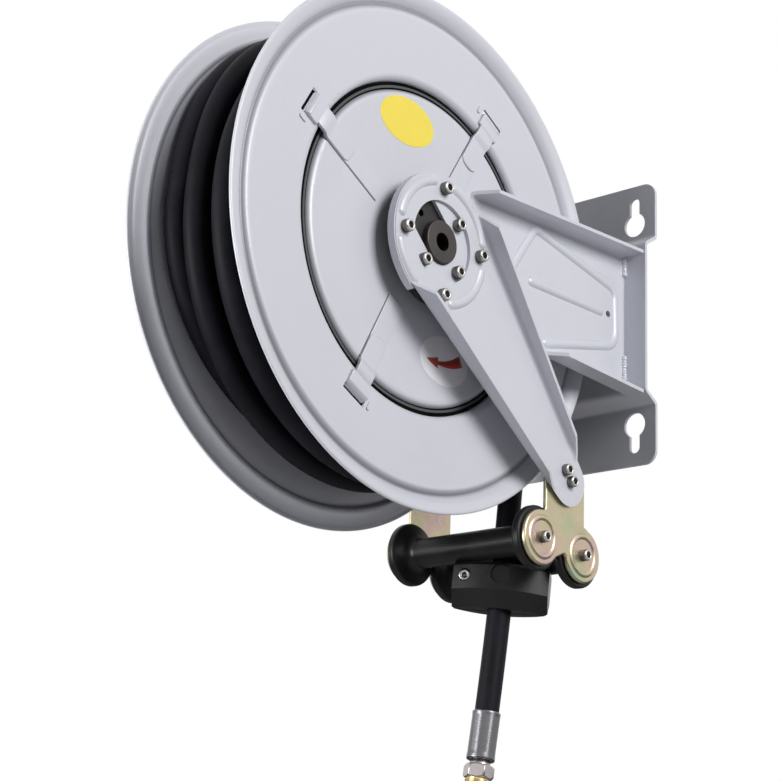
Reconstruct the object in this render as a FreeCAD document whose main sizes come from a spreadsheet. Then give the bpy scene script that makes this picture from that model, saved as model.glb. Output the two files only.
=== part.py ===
import FreeCAD, Part
import math
import os

# A wall-mounted spring-rewind hose reel, in mm. The origin is the middle of the four wall
# holes on the wall plane, +X is the spring side, +Y goes into the wall and +Z is up.

os.makedirs("parts", exist_ok=True)
doc = FreeCAD.newDocument("HoseReel")
V = FreeCAD.Vector

SIZES = {
    "sheet": 3.0,               # sheet of plate, arms and brackets
    "arm_inside": 72.2,         # inner face of each support arm, from the middle plane
    "axis_reach": 266.0,        # drum axis in front of the wall
    "plate_width": 195.2,
    "plate_height": 258.0,
    "plate_raise": 15.0,        # how far the plate's middle stands off its flanges
    "hole_across": 151.0,       # wall holes, sideways
    "hole_up": 185.0,           # wall holes, up and down
    "hole_size": 22.0,
    "slot_width": 10.5,
    "slot_run": 20.0,
    "arm_edge": 96.0,           # free edge of the support arm's flange
    "guide_edge": 93.8,         # free edge of the guide arm's flange
    "cap_size": 114.0,          # guide arm's round hub end
    "hub_size": 107.2,          # support arm's round hub end
    "tip_size": 45.0,           # guide arm's round tip
    "disc_size": 430.0,
    "disc_sheet": 2.0,
    "near_face": 58.4,          # outer face of the near disc
    "far_face": -49.6,          # outer face of the far disc
    "barrel_size": 291.6,
    "case_size": 266.0,
    "shaft_size": 35.6,
    "bore_size": 15.0,
    "hose_size": 20.1,
    "hose_pitch": 20.6,         # from turn to turn and from layer to layer
    "inner_layer": 156.7,       # hose centre radius, inner layer
    "outer_layer": 177.3,       # hose centre radius, outer layer
    "roller_size": 25.5,
    "roller_flange": 53.6,
    "axle_size": 8.0,
    "bracket_lobe": 46.0,
    "stop_length": 80.0,
    "stop_width": 54.0,
    "stop_height": 36.0,
    "strap_width": 19.0,
    "strap_sheet": 2.4,
}
dims = doc.addObject("Spreadsheet::Sheet", "Dims")
for row, (name, value) in enumerate(SIZES.items(), 1):
    dims.set(f"A{row}", name)
    dims.set(f"B{row}", str(value))
    dims.setAlias(f"B{row}", name)
doc.recompute()

SHEET = SIZES["sheet"]
AXIS_Y = -SIZES["axis_reach"]
ARM_IN = SIZES["arm_inside"]
ARM_OUT = ARM_IN + SHEET
CAP_OUT = ARM_OUT + SHEET
HOSE_R = SIZES["hose_size"] / 2
SHAFT_R = SIZES["shaft_size"] / 2
RUN_FIT = 0.08                  # radial play of the bushes on the shaft
nodes = {}


def at(x=0.0, y=0.0, z=0.0, axis=(1, 0, 0), turn=0.0):
    """A place and a turn in degrees about an axis through it."""
    return FreeCAD.Placement(V(x, y, z), FreeCAD.Rotation(V(*axis), turn))


def new_body(label, place=None, on_axis=False):
    """A body, on request at the drum axis, which the sheet gives."""
    body = doc.addObject("PartDesign::Body", label)
    body.Label = label
    body.AllowCompound = True
    if place is not None:
        body.Placement = place
    if on_axis:
        body.setExpression("Placement.Base.y", "-Dims.axis_reach")
    nodes[label] = body
    return body


def new_sketch(body, plane, offset="0", place=None):
    """A sketch on an origin plane, moved along its normal by an expression."""
    sketch = body.newObject("Sketcher::SketchObject", body.Name + "_sketch")
    support = next(f for f in body.Origin.OriginFeatures if f.Role == plane)
    sketch.AttachmentSupport = [(support, "")]
    sketch.MapMode = "FlatFace"
    if place is not None:
        sketch.AttachmentOffset = place
    else:
        sketch.setExpression("AttachmentOffset.Base.z", offset)
    return sketch


def draw(sketch, start, moves):
    """Closed outline: a move of 2 numbers is a line, one of 4 an arc through its first point."""
    here = V(*start, 0)
    for move in moves:
        end = V(*move[-2:], 0)
        if len(move) == 2:
            sketch.addGeometry(Part.LineSegment(here, end), False)
        else:
            sketch.addGeometry(Part.Arc(here, V(move[0], move[1], 0), end), False)
        here = end


def draw_rounded(sketch, corners):
    """Closed outline through corners (x, y) or (x, y, radius), each rounded by its radius."""
    legs = []
    count = len(corners)
    for i, corner in enumerate(corners):
        here = V(corner[0], corner[1], 0)
        radius = corner[2] if len(corner) == 3 else 0.0
        back = (V(*corners[i - 1][:2], 0) - here).normalize()
        ahead = (V(*corners[(i + 1) % count][:2], 0) - here).normalize()
        if radius == 0:
            legs.append((here, None, here))
            continue
        half = back.getAngle(ahead) / 2
        cut = radius / math.tan(half)
        middle = (back + ahead).normalize() * (radius / math.sin(half) - radius)
        legs.append((here + back * cut, here + middle, here + ahead * cut))
    for i, (first, middle, last) in enumerate(legs):
        if middle is not None:
            sketch.addGeometry(Part.Arc(first, middle, last), False)
        sketch.addGeometry(Part.LineSegment(last, legs[(i + 1) % count][0]), False)


def draw_circle(sketch, x, y, radius):
    sketch.addGeometry(Part.Circle(V(x, y, 0), V(0, 0, 1), radius), False)


def draw_hexagon(sketch, x, y, across):
    """A hexagon by its width across flats."""
    reach = across / math.sqrt(3)
    draw_rounded(sketch, [(x + reach * math.cos(math.radians(60 * i)),
                           y + reach * math.sin(math.radians(60 * i))) for i in range(6)])


def feature(body, kind, sketch):
    made = body.newObject("PartDesign::" + kind, body.Name + "_" + kind)
    made.Profile = sketch
    sketch.Visibility = False
    body.Tip = made
    return made


def pad(body, sketch, length):
    """Adds along the sketch's normal."""
    made = feature(body, "Pad", sketch)
    made.setExpression("Length", length)
    return made


def cut(body, sketch, length=None):
    """Cuts against the sketch's normal, right through unless a length is given."""
    made = feature(body, "Pocket", sketch)
    if length is None:
        made.Type = "ThroughAll"
    else:
        made.setExpression("Length", length)
    return made


def spin(body, sketch, angle=360.0, kind="Revolution"):
    """Turns the sketch about its own horizontal axis."""
    made = feature(body, kind, sketch)
    made.ReferenceAxis = (sketch, ["H_Axis"])
    made.Angle = angle
    return made


def repeat_round(body, originals, count, angle=360.0, role="X_Axis"):
    """Repeats features about an axis of the body."""
    made = body.newObject("PartDesign::PolarPattern", body.Name + "_pattern")
    made.Originals = originals
    axis = next(f for f in body.Origin.OriginFeatures if f.Role == role)
    made.Axis = (axis, [""])
    made.Angle = angle
    made.Occurrences = count
    body.Tip = made


def round_edges(body, radius, wanted, kind="Fillet"):
    """Rounds or bevels those edges of the body so far that a test picks."""
    doc.recompute()
    base = body.Tip
    names = [f"Edge{i}" for i, edge in enumerate(base.Shape.Edges, 1) if wanted(edge)]
    if not names:
        raise RuntimeError(body.Label + " has no such edge")
    made = body.newObject("PartDesign::" + kind, body.Name + "_" + kind)
    made.Base = (base, names)
    if kind == "Fillet":
        made.Radius = radius
    else:
        made.Size = radius
    body.Tip = made


def lathe(label, outlines, place=None, on_axis=True):
    """A turned piece: outlines of (x, radius) corners about the body's X axis."""
    body = new_body(label, place, on_axis)
    sketch = new_sketch(body, "XY_Plane")
    for outline in outlines:
        draw_rounded(sketch, outline)
    spin(body, sketch)
    return body


def mirror(label, source):
    """The same piece on the other side of the middle plane."""
    made = doc.addObject("Part::Mirroring", label)
    made.Label = label
    made.Source = nodes[source]
    made.Normal = V(1, 0, 0)
    made.Base = V(0, 0, 0)
    nodes[label] = made


def ring_point(radius, degrees):
    """A point (y, z) about the drum axis, from +Y towards +Z."""
    return radius * math.cos(math.radians(degrees)), radius * math.sin(math.radians(degrees))


def at_x(edge, x, shortest):
    """Whether a straight edge lies in the plane of that x and is long enough."""
    ends = [vertex.Point.x for vertex in edge.Vertexes]
    flat = all(abs(end - x) < 0.01 for end in ends)
    return flat and edge.Curve.TypeId == "Part::GeomLine" and edge.Length > shortest


# The pressed beads of the arms: a lens-shaped section, this half width and rise.
BEAD_HALF = 4.5
BEAD_RISE = 2.0
BEAD_R = (BEAD_HALF ** 2 + BEAD_RISE ** 2) / (2 * BEAD_RISE)


def bead_arc(body, face_x, radius, start, sweep, y=0.0, z=0.0):
    """A pressed bead on a face square to X, round a centre from one angle over a sweep."""
    sketch = new_sketch(body, "XY_Plane", place=at(0, y, z, turn=start))
    draw(sketch, (face_x, radius - BEAD_HALF),
         [(face_x + BEAD_RISE, radius, face_x, radius + BEAD_HALF), (face_x, radius - BEAD_HALF)])
    spin(body, sketch, sweep)


def bead_line(body, face_x, start, end):
    """A straight pressed bead between two points (y, z) on a face square to X."""
    along = V(end[0] - start[0], end[1] - start[1], 0)
    heading = math.degrees(math.atan2(along.y, along.x))
    sketch = new_sketch(body, "XY_Plane", place=at(0, start[0], start[1], turn=heading - 90))
    draw(sketch, (face_x, -BEAD_HALF),
         [(face_x + BEAD_RISE, 0, face_x, BEAD_HALF), (face_x, -BEAD_HALF)])
    pad(body, sketch, f"{along.Length:.4f}")


def bead_end(body, face_x, spot, heading):
    """The round end of a pressed bead that runs out at a point (y, z) towards a heading."""
    half = math.asin(BEAD_HALF / BEAD_R) / 2
    sketch = new_sketch(body, "XY_Plane", place=at(0, spot[0], spot[1], turn=heading - 90))
    draw(sketch, (face_x, 0),
         [(face_x + BEAD_RISE, 0),
          (face_x + BEAD_RISE - BEAD_R * (1 - math.cos(half)), BEAD_R * math.sin(half), face_x, BEAD_HALF),
          (face_x, 0)])
    spin(body, sketch, 180)


def bead_path(body, face_x, corners):
    """A pressed bead through corners (y, z, radius), round at its corners and both ends."""
    spots = [V(y, z, 0) for y, z, _ in corners]
    here = spots[0]
    for before, corner, after, (_, _, radius) in zip(spots, spots[1:], spots[2:], corners[1:]):
        back = (before - corner).normalize()
        ahead = (after - corner).normalize()
        half = back.getAngle(ahead) / 2
        first = corner + back * (radius / math.tan(half))
        last = corner + ahead * (radius / math.tan(half))
        centre = corner + (back + ahead).normalize() * (radius / math.sin(half))
        bead_line(body, face_x, (here.x, here.y), (first.x, first.y))
        left = back.cross(ahead).z < 0
        start = (first if left else last) - centre
        bead_arc(body, face_x, radius, math.degrees(math.atan2(start.y, start.x)),
                 180 - 2 * math.degrees(half), centre.x, centre.y)
        here = last
    bead_line(body, face_x, (here.x, here.y), (spots[-1].x, spots[-1].y))
    for spot, inward in ((spots[0], spots[1]), (spots[-1], spots[-2])):
        out = spot - inward
        bead_end(body, face_x, (spot.x, spot.y), math.degrees(math.atan2(out.y, out.x)))


# Wall plate: a top hat pressed from sheet, with four keyholes.
RAISE = SIZES["plate_raise"]
HALF_TALL = SIZES["plate_height"] / 2
STEP_OUT = 77.0                 # where the flanges end
STEP_IN = 68.0                  # where the raised middle begins
STEP_BACK = 1.7                 # how far the sheet's back corner lies inside its front one


def make_wall_plate():
    body = new_body("wall_plate")
    sketch = new_sketch(body, "YZ_Plane", "-Dims.plate_width / 2")
    front = [(-SHEET, HALF_TALL), (-SHEET, STEP_OUT, 3), (-SHEET - RAISE, STEP_IN, 6)]
    back = [(-RAISE, STEP_IN - STEP_BACK, 3), (0, STEP_OUT - STEP_BACK, 6), (0, HALF_TALL)]
    low_front = [(y, -z, *r) for y, z, *r in reversed(front)]
    low_back = [(y, -z, *r) for y, z, *r in reversed(back)]
    draw_rounded(sketch, front + low_front + low_back + back)
    pad(body, sketch, "Dims.plate_width")
    round_edges(body, 12, lambda edge: abs(edge.Length - SHEET) < 0.01
                and abs(abs(edge.CenterOfMass.z) - HALF_TALL) < 0.01)
    hole_r = SIZES["hole_size"] / 2
    slot_r = SIZES["slot_width"] / 2
    meet = math.sqrt(hole_r ** 2 - slot_r ** 2)
    far = SIZES["slot_run"]
    sketch = new_sketch(body, "XZ_Plane", "Dims.plate_raise + 10")
    for side in (-1, 1):
        for up in (-1, 1):
            x = side * SIZES["hole_across"] / 2
            z = up * SIZES["hole_up"] / 2
            draw(sketch, (x - slot_r, z + up * meet),
                 [(x - slot_r, z + up * far), (x, z + up * (far + slot_r), x + slot_r, z + up * far),
                  (x + slot_r, z + up * meet), (x, z - up * hole_r, x - slot_r, z + up * meet)])
    cut(body, sketch)


# Support arms: trays that run from the plate to the hub, open upwards for the shaft.
ARM_TOP = 60.5                  # top of the arm at the plate, above the axis
ARM_LOW = -70.0                 # bottom of the arm at the plate
ARM_END = SIZES["axis_reach"] - SHEET - RAISE - 0.0
HUB_R = SIZES["hub_size"] / 2
BEND_OUT = 8.0
BEND_IN = BEND_OUT - SHEET
OUTER_BOLT_R = 44.65
INNER_BOLT_R = 28.2


def tangent_point(radius, y, z, side):
    """Where the line from (y, z) touches the circle about the axis, on its upper or lower side."""
    reach = math.hypot(y, z)
    angle = math.atan2(z, y) + side * math.acos(radius / reach)
    return radius * math.cos(angle), radius * math.sin(angle)


def make_support_arm():
    body = new_body("support_arm_near", on_axis=True)
    top = tangent_point(HUB_R, ARM_END, ARM_TOP, 1)
    low = tangent_point(HUB_R, ARM_END, ARM_LOW, -1)
    sketch = new_sketch(body, "YZ_Plane", "Dims.arm_inside")
    draw(sketch, (ARM_END, ARM_TOP),
         [top, (-HUB_R, 0, *low), (ARM_END, ARM_LOW), (ARM_END, ARM_TOP)])
    pad(body, sketch, "Dims.arm_edge - Dims.arm_inside")
    round_edges(body, BEND_OUT, lambda edge: at_x(edge, ARM_IN, 200))
    inside = []
    for (y, z), (end_y, end_z), side in (((top), (ARM_END, ARM_TOP), -1), ((low), (ARM_END, ARM_LOW), 1)):
        along = V(end_y - y, end_z - z, 0).normalize()
        first = V(y, z, 0) + V(-along.y, along.x, 0) * side * SHEET - along * 70
        last = V(end_y, end_z, 0) + V(-along.y, along.x, 0) * side * SHEET + along * 10
        inside.append(((first.x, first.y), (last.x, last.y)))
    sketch = new_sketch(body, "YZ_Plane", "Dims.arm_edge + 5")
    draw_rounded(sketch, [inside[0][0], inside[0][1], inside[1][1], inside[1][0]])
    cut(body, sketch, "Dims.arm_edge + 5 - Dims.arm_inside - Dims.sheet")
    round_edges(body, BEND_IN, lambda edge: at_x(edge, ARM_OUT, 200))
    sketch = new_sketch(body, "XY_Plane", "100")
    draw_rounded(sketch, [(ARM_OUT, -90), (ARM_OUT, 36), (110, 56), (110, -90)])
    cut(body, sketch)
    sketch = new_sketch(body, "XY_Plane")
    draw_rounded(sketch, [(ARM_OUT, -20), (ARM_OUT, 124), (110, 154), (110, -20)])
    cut(body, sketch)
    sketch = new_sketch(body, "YZ_Plane", "Dims.arm_edge + 5")
    slot_r = SHAFT_R + 0.2
    mouth = ring_point(90, 135)
    side_y, side_z = ring_point(slot_r, 45)
    tail_y, tail_z = ring_point(slot_r, -45)
    draw(sketch, (side_y, side_z),
         [(mouth[0] + side_y, mouth[1] + side_z), (mouth[0] - side_y, mouth[1] - side_z),
          (-side_y, -side_z), (tail_y, tail_z, side_y, side_z)])
    for angle in (0, 90, 180, 270):
        draw_circle(sketch, *ring_point(OUTER_BOLT_R, angle), 3.2)
    for angle in (45, -45, -135):
        draw_circle(sketch, *ring_point(INNER_BOLT_R, angle), 3.2)
    draw_circle(sketch, 224, -1, 3.0)
    cut(body, sketch)
    bead_path(body, ARM_OUT, [(116.5, -0.5, 0), (212.5, -1.2, 0)])
    bead_path(body, ARM_OUT, [(136, -49.3, 0), (236, -27, 16), (234, 23.6, 12), (120.6, 47.8, 8),
                              (88, 1, 0)])


# Guide arms: a round cap over the hub end, and a tapering tray down to the hose guide.
CAP_R = SIZES["cap_size"] / 2
TIP_R = SIZES["tip_size"] / 2
TIP_ANGLE = -44.2
TIP_REACH = 232.0
TIP_Y, TIP_Z = ring_point(TIP_REACH, TIP_ANGLE)


def draw_taper(sketch, big, small):
    """The outline that two circles share: one on the axis and one at the guide arm's tip."""
    lean = math.degrees(math.acos((big - small) / TIP_REACH))
    right = ring_point(1, TIP_ANGLE + lean)
    left = ring_point(1, TIP_ANGLE - lean)
    ahead = ring_point(1, TIP_ANGLE)
    draw(sketch, (big * right[0], big * right[1]),
         [(-big * ahead[0], -big * ahead[1], big * left[0], big * left[1]),
          (TIP_Y + small * left[0], TIP_Z + small * left[1]),
          (TIP_Y + small * ahead[0], TIP_Z + small * ahead[1],
           TIP_Y + small * right[0], TIP_Z + small * right[1]),
          (big * right[0], big * right[1])])


TIP_SCREWS = ((161.1, -153.3), (168.0, -162.1))


def make_guide_arm():
    body = new_body("guide_arm_near", on_axis=True)
    sketch = new_sketch(body, "YZ_Plane", "Dims.arm_inside + Dims.sheet")
    draw_taper(sketch, CAP_R, TIP_R)
    pad(body, sketch, "Dims.guide_edge - Dims.arm_inside - Dims.sheet")
    round_edges(body, BEND_OUT - 1, lambda edge: at_x(edge, ARM_OUT, 200))
    sketch = new_sketch(body, "YZ_Plane", "Dims.guide_edge + 5")
    draw_taper(sketch, CAP_R - SHEET, TIP_R - SHEET)
    cut(body, sketch, "Dims.guide_edge + 5 - Dims.arm_inside - 2 * Dims.sheet")
    round_edges(body, BEND_IN - 1, lambda edge: at_x(edge, CAP_OUT, 200))
    turned = at(axis=(1, 0, 0), turn=TIP_ANGLE).multiply(at(z=100))
    sketch = new_sketch(body, "XY_Plane", place=turned)
    draw_rounded(sketch, [(CAP_OUT, -80), (CAP_OUT, 5), (SIZES["guide_edge"] + 0.3, 20), (87, 205),
                          (CAP_OUT, 226), (CAP_OUT, 270), (110, 270), (110, -80)])
    cut(body, sketch)
    sketch = new_sketch(body, "XY_Plane", place=at(axis=(1, 0, 0), turn=76))
    draw_rounded(sketch, [(ARM_IN - 1.2, CAP_R - SHEET), (CAP_OUT - 0.5, CAP_R - SHEET),
                          (CAP_OUT - 0.5, CAP_R), (ARM_IN - 1.2, CAP_R)])
    spin(body, sketch, 160)
    sketch = new_sketch(body, "YZ_Plane", "Dims.guide_edge + 5")
    draw_circle(sketch, 0, 0, 34)
    for angle in (0, 90, 180, 270):
        draw_circle(sketch, *ring_point(OUTER_BOLT_R, angle), 3.2)
    for y, z in TIP_SCREWS:
        draw_circle(sketch, y, z, 3.2)
    cut(body, sketch)
    for start, sweep in ((104, 62), (194, 37), (-76, 62), (14, 62)):
        bead_arc(body, CAP_OUT, 50, start, sweep)
        bead_end(body, CAP_OUT, ring_point(50, start), start - 90)
        bead_end(body, CAP_OUT, ring_point(50, start + sweep), start + sweep + 90)


# Hub: a black flange behind each support arm, its screws, and the fixed hollow shaft.
FLANGE_R = 52.0
FLANGE_IN = 64.6


def make_hub():
    flange = lathe("hub_flange_near", [[(FLANGE_IN, SHAFT_R), (FLANGE_IN, 38), (67.2, 40),
                                        (67.2, FLANGE_R), (ARM_IN, FLANGE_R), (ARM_IN, SHAFT_R)]])
    sketch = new_sketch(flange, "YZ_Plane", "Dims.arm_inside + 1")
    for angle in (0, 90, 180, 270):
        draw_circle(sketch, *ring_point(OUTER_BOLT_R, angle), 3.0)
    for angle in (45, 135, -45, -135):
        draw_circle(sketch, *ring_point(INNER_BOLT_R, angle), 3.0)
    cut(flange, sketch)
    make_screws("cap_screws_near", OUTER_BOLT_R, 0, 4, 360, CAP_OUT)
    make_screws("clamp_screws_near", INNER_BOLT_R, -135, 3, 180, ARM_OUT)
    lathe("shaft", [[(-78.2, SIZES["bore_size"] / 2), (-78.2, SHAFT_R, 1), (9, SHAFT_R), (9, 22, 0.5),
                     (49, 22, 0.5), (49, SHAFT_R), (78.2, SHAFT_R, 1), (78.2, SIZES["bore_size"] / 2)]])


HEAD_R = 5.2
HEAD_TALL = 6.8
SHANK_R = 2.9


def make_screws(label, radius, angle, count, spread, seat_x):
    """Socket-head screws round the hub, from the sheet that their heads sit on into the flange."""
    body = new_body(label, on_axis=True)
    y, z = ring_point(radius, angle)
    sketch = new_sketch(body, "XY_Plane", place=at(0, y, z, (1, 0, 0), angle))
    draw_rounded(sketch, [(FLANGE_IN + 3, 0), (FLANGE_IN + 3, SHANK_R), (seat_x, SHANK_R),
                          (seat_x, HEAD_R), (seat_x + HEAD_TALL, HEAD_R, 0.8), (seat_x + HEAD_TALL, 0)])
    head = spin(body, sketch)
    sketch = new_sketch(body, "YZ_Plane", str(seat_x + HEAD_TALL))
    draw_hexagon(sketch, y, z, 5)
    socket = cut(body, sketch, "4")
    repeat_round(body, [head, socket], count, spread)


# Drum: two pressed discs on a barrel, the spring in its case, and four straps over its cover.
DISC_R = SIZES["disc_size"] / 2
BEAD_TUBE = 3.5                 # the disc's rolled rim
NEAR_FACE = SIZES["near_face"]
FAR_FACE = SIZES["far_face"]
THIN = SIZES["disc_sheet"]
BARREL_R = SIZES["barrel_size"] / 2
CASE_R = SIZES["case_size"] / 2
STRAP_ANGLES = (59, 149.6, 242, 329)
HOOK_R = 157.0


def make_disc(label, inner, face, out):
    """A pressed disc: inner corners, then the flat, the ramp and the rolled rim."""
    back = face - out * THIN
    rim = face + out * 2.0
    body = lathe(label, [inner + [(back, 193.5, 3), (rim, 204.5, 3), (rim, DISC_R - 2.5),
                                  (rim + out * THIN, DISC_R - 2.5), (rim + out * THIN, 203.5, 3),
                                  (face, 192, 3)]])
    sketch = new_sketch(body, "XY_Plane")
    draw_circle(sketch, rim + out * 1.4, DISC_R - BEAD_TUBE, BEAD_TUBE)
    spin(body, sketch)
    return body


def make_drum():
    lip = 136.0
    inner = [(NEAR_FACE, lip, 6), (NEAR_FACE - 8, lip), (NEAR_FACE - 8, lip + THIN),
             (NEAR_FACE - THIN, lip + THIN, 4)]
    near = make_disc("disc_near", inner, NEAR_FACE, 1)
    sketch = new_sketch(near, "YZ_Plane", "Dims.near_face + 20")
    for angle in STRAP_ANGLES:
        middle = V(*ring_point(HOOK_R, angle), 0)
        out = V(*ring_point(1, angle), 0) * 2.6
        side = V(-out.y, out.x, 0).normalize() * 12.5
        corners = [middle + out + side, middle - out + side, middle - out - side, middle + out - side]
        draw_rounded(sketch, [(c.x, c.y) for c in corners])
    cut(near, sketch)
    sketch = new_sketch(near, "YZ_Plane", "Dims.near_face - 0.2")
    for angle in STRAP_ANGLES:
        out = V(*ring_point(1, angle), 0)
        side = V(-out.y, out.x, 0)
        middle = out * 154 + side * 17
        corners = [middle + out * a + side * b for a, b in ((4, 1.8), (-4, 1.8), (-4, -1.8), (4, -1.8))]
        draw_rounded(sketch, [(c.x, c.y, 1.7) for c in corners])
    pad(near, sketch, "1.4")
    make_disc("disc_far", [(FAR_FACE, 30), (FAR_FACE + THIN, 30)], FAR_FACE, -1)
    lathe("barrel", [[(FAR_FACE + THIN, BARREL_R - SHEET), (NEAR_FACE - THIN, BARREL_R - SHEET),
                      (NEAR_FACE - THIN, BARREL_R), (FAR_FACE + THIN, BARREL_R)]])
    lathe("spring_case", [[(5, SHAFT_R + 0.6), (5, CASE_R, 4), (54, CASE_R), (54, CASE_R - 2),
                           (7, CASE_R - 2, 2), (7, SHAFT_R + 0.6)]])
    lathe("spring_cover", [[(54.3, 24), (56.3, 24), (56.3, CASE_R - 2.1, 7), (48.3, CASE_R - 2.1),
                            (48.3, CASE_R - 4.1), (54.3, CASE_R - 4.1, 5)]])
    run = SHAFT_R + RUN_FIT
    lathe("bush_near", [[(50, run), (63.6, run), (63.6, 23, 1), (58.3, 23), (58.3, 27), (56.3, 27),
                         (56.3, 24), (50, 24)]])
    lathe("bush_far", [[(-58, run), (-46, run), (-46, 34), (-47.6, 34), (-47.6, 30), (-58, 30, 1)]])
    lathe("swivel_body", [[(-45.5, run), (-41, run), (-41, run + 2.4), (-37, run + 2.4), (-37, run),
                           (-33, run), (-33, run + 4), (-22, run + 4), (-22, run), (-18, run),
                           (-18, run + 2.4), (-14, run + 2.4), (-14, run), (-9, run), (-9, 34),
                           (-45.5, 34)]])
    lathe("swivel_seals", [[(left + 0.3, run), (left + 3.7, run), (left + 3.7, run + 2.2, 0.8),
                            (left + 0.3, run + 2.2, 0.8)] for left in (-41, -18)])
    neck = new_body("swivel_neck", on_axis=True)
    sketch = new_sketch(neck, "XY_Plane", "33")
    draw_circle(sketch, -27.5, 0, 9)
    draw_circle(sketch, -27.5, 0, 6)
    pad(neck, sketch, "Dims.barrel_size / 2 - Dims.sheet - 33.5")


def make_strap(index, angle):
    """A flat strap from the hub over the cover and the disc, hooked down through its slot."""
    body = new_body(f"cover_strap_{index}", at(turn=angle), on_axis=True)
    low = 56.35
    up = NEAR_FACE + 0.05
    thick = SIZES["strap_sheet"]
    behind = NEAR_FACE - THIN - 1.4
    sketch = new_sketch(body, "XY_Plane", "-Dims.strap_width / 2")
    draw_rounded(sketch, [(low, 46), (low, 127, 3), (up, 133, 2), (up, HOOK_R - 1.2, 1),
                          (behind + 1.3, HOOK_R - 1.2), (behind + 1.3, 150), (behind, 150),
                          (behind, HOOK_R + 1.0, 2), (up + thick, HOOK_R + 1.0, 2),
                          (up + thick, 132, 2), (low + thick, 126, 3), (low + thick, 46)])
    pad(body, sketch, "Dims.strap_width")
    sketch = new_sketch(body, "XY_Plane", "-Dims.strap_width / 2")
    draw_rounded(sketch, [(low + thick - 0.2, 97), (low + thick - 0.2, 126), (up + thick - 0.2, 132),
                          (up + thick - 0.2, 151), (up + thick + 1.2, 151),
                          (up + thick + 1.2, 131.6, 2), (low + thick + 1.2, 125.6, 3),
                          (low + thick + 1.2, 97)])
    pad(body, sketch, "Dims.strap_width")
    sketch = new_sketch(body, "YZ_Plane", str(low + thick + 3))
    draw(sketch, (90, -12), [(90, 12), (104, 12), (99.3, 0, 104, -12), (90, -12)])
    cut(body, sketch, "3")
    sketch = new_sketch(body, "XY_Plane", "-Dims.strap_width / 2 - 2.7")
    draw_rounded(sketch, [(up, 149.5), (up, HOOK_R + 1.0), (up + thick + 2.4, HOOK_R + 1.0, 1),
                          (up + thick + 2.4, 149.5)])
    pad(body, sketch, "Dims.strap_width + 5.4")


def make_spring():
    """The flat spiral rewind spring, wound of half circles about two centres."""
    body = new_body("main_spring", on_axis=True)
    strip = 1.4
    pitch = 8.6
    halves = 24
    first = 26.0
    paths = []
    for shift in (-strip / 2, strip / 2):
        moves = []
        for i in range(halves):
            radius = first + i * pitch / 2
            centre = 0.0 if i % 2 == 0 else pitch / 2
            way = 1 if i % 2 == 0 else -1
            tip = centre - way * (radius + shift)
            moves.append((centre, way * (radius + shift), tip))
        paths.append(((first + shift), moves))
    sketch = new_sketch(body, "YZ_Plane", "11")
    ends = []
    for start, moves in paths:
        here = start
        for centre, top, tip in moves:
            arc = Part.Arc(V(here, 0, 0), V(centre, top, 0), V(tip, 0, 0))
            sketch.addGeometry(arc, False)
            here = tip
        ends.append(here)
    sketch.addGeometry(Part.LineSegment(V(paths[0][0], 0, 0), V(paths[1][0], 0, 0)), False)
    sketch.addGeometry(Part.LineSegment(V(ends[0], 0, 0), V(ends[1], 0, 0)), False)
    pad(body, sketch, "35")


# Ratchet on the far disc, and the pawl that hangs on the far support arm.
TEETH = 12
TOOTH_TIP = 56.0
TOOTH_ROOT = 50.0
PAWL_Y = 66.0
PAWL_Z = 24.0


def make_ratchet():
    ring = new_body("ratchet_ring", on_axis=True)
    sketch = new_sketch(ring, "YZ_Plane", "Dims.far_face - 6")
    corners = []
    for i in range(TEETH):
        corners.append(ring_point(TOOTH_TIP, i * 360 / TEETH))
        corners.append(ring_point(TOOTH_ROOT, i * 360 / TEETH + 2))
    draw_rounded(sketch, corners)
    draw_circle(sketch, 0, 0, 30.1)
    pad(ring, sketch, "6")
    pivot = lathe("pawl_pivot", [[(-ARM_IN, 0), (-ARM_IN, 7, 1), (-57, 7), (-57, 4), (-50.2, 4, 0.5),
                                  (-50.2, 0)]], at(0, AXIS_Y + PAWL_Y, PAWL_Z), False)
    pivot.setExpression("Placement.Base.y", f"-Dims.axis_reach + {PAWL_Y}")
    pawl = new_body("pawl", at(0, AXIS_Y + PAWL_Y, PAWL_Z))
    sketch = new_sketch(pawl, "YZ_Plane", "Dims.far_face - 6")
    draw_rounded(sketch, [(7, -6, 5), (7, 7, 6), (-12, 20, 4), (-25, 29.5, 1), (-27, 25, 0.6),
                          (-14, 9, 6), (-7, -6, 5)])
    draw_circle(sketch, 0, 0, 4 + RUN_FIT)
    pad(pawl, sketch, "5")


# Inlet on the far end of the shaft.
INLET_END = -112.0


def make_inlet():
    body = new_body("inlet_union", on_axis=True)
    sketch = new_sketch(body, "YZ_Plane", str(INLET_END))
    draw_hexagon(sketch, 0, 0, 32)
    pad(body, sketch, "24")
    sketch = new_sketch(body, "XY_Plane")
    draw_rounded(sketch, [(INLET_END + 24, 0), (INLET_END + 24, 13), (-78.2, 13), (-78.2, 0)])
    spin(body, sketch)
    sketch = new_sketch(body, "XY_Plane")
    draw_rounded(sketch, [(INLET_END - 1, 0), (INLET_END - 1, 9.3), (INLET_END + 16, 9.3),
                          (INLET_END + 16, 7), (-78, 7), (-78, 0)])
    spin(body, sketch, kind="Groove")


# Hose guide: two brackets, two axles and two rollers of two halves each.
FRONT_Y, FRONT_Z = -130.0, -213.5
REAR_Y, REAR_Z = -75.5, -219.9
ROLLER_END = 71.0
AXLE_R = SIZES["axle_size"] / 2
LOBE_R = SIZES["bracket_lobe"] / 2


def lobe_point(y, z, degrees):
    """A point (y, z) on the edge of the bracket's lobe about an axle."""
    return y + LOBE_R * math.cos(math.radians(degrees)), z + LOBE_R * math.sin(math.radians(degrees))


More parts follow.
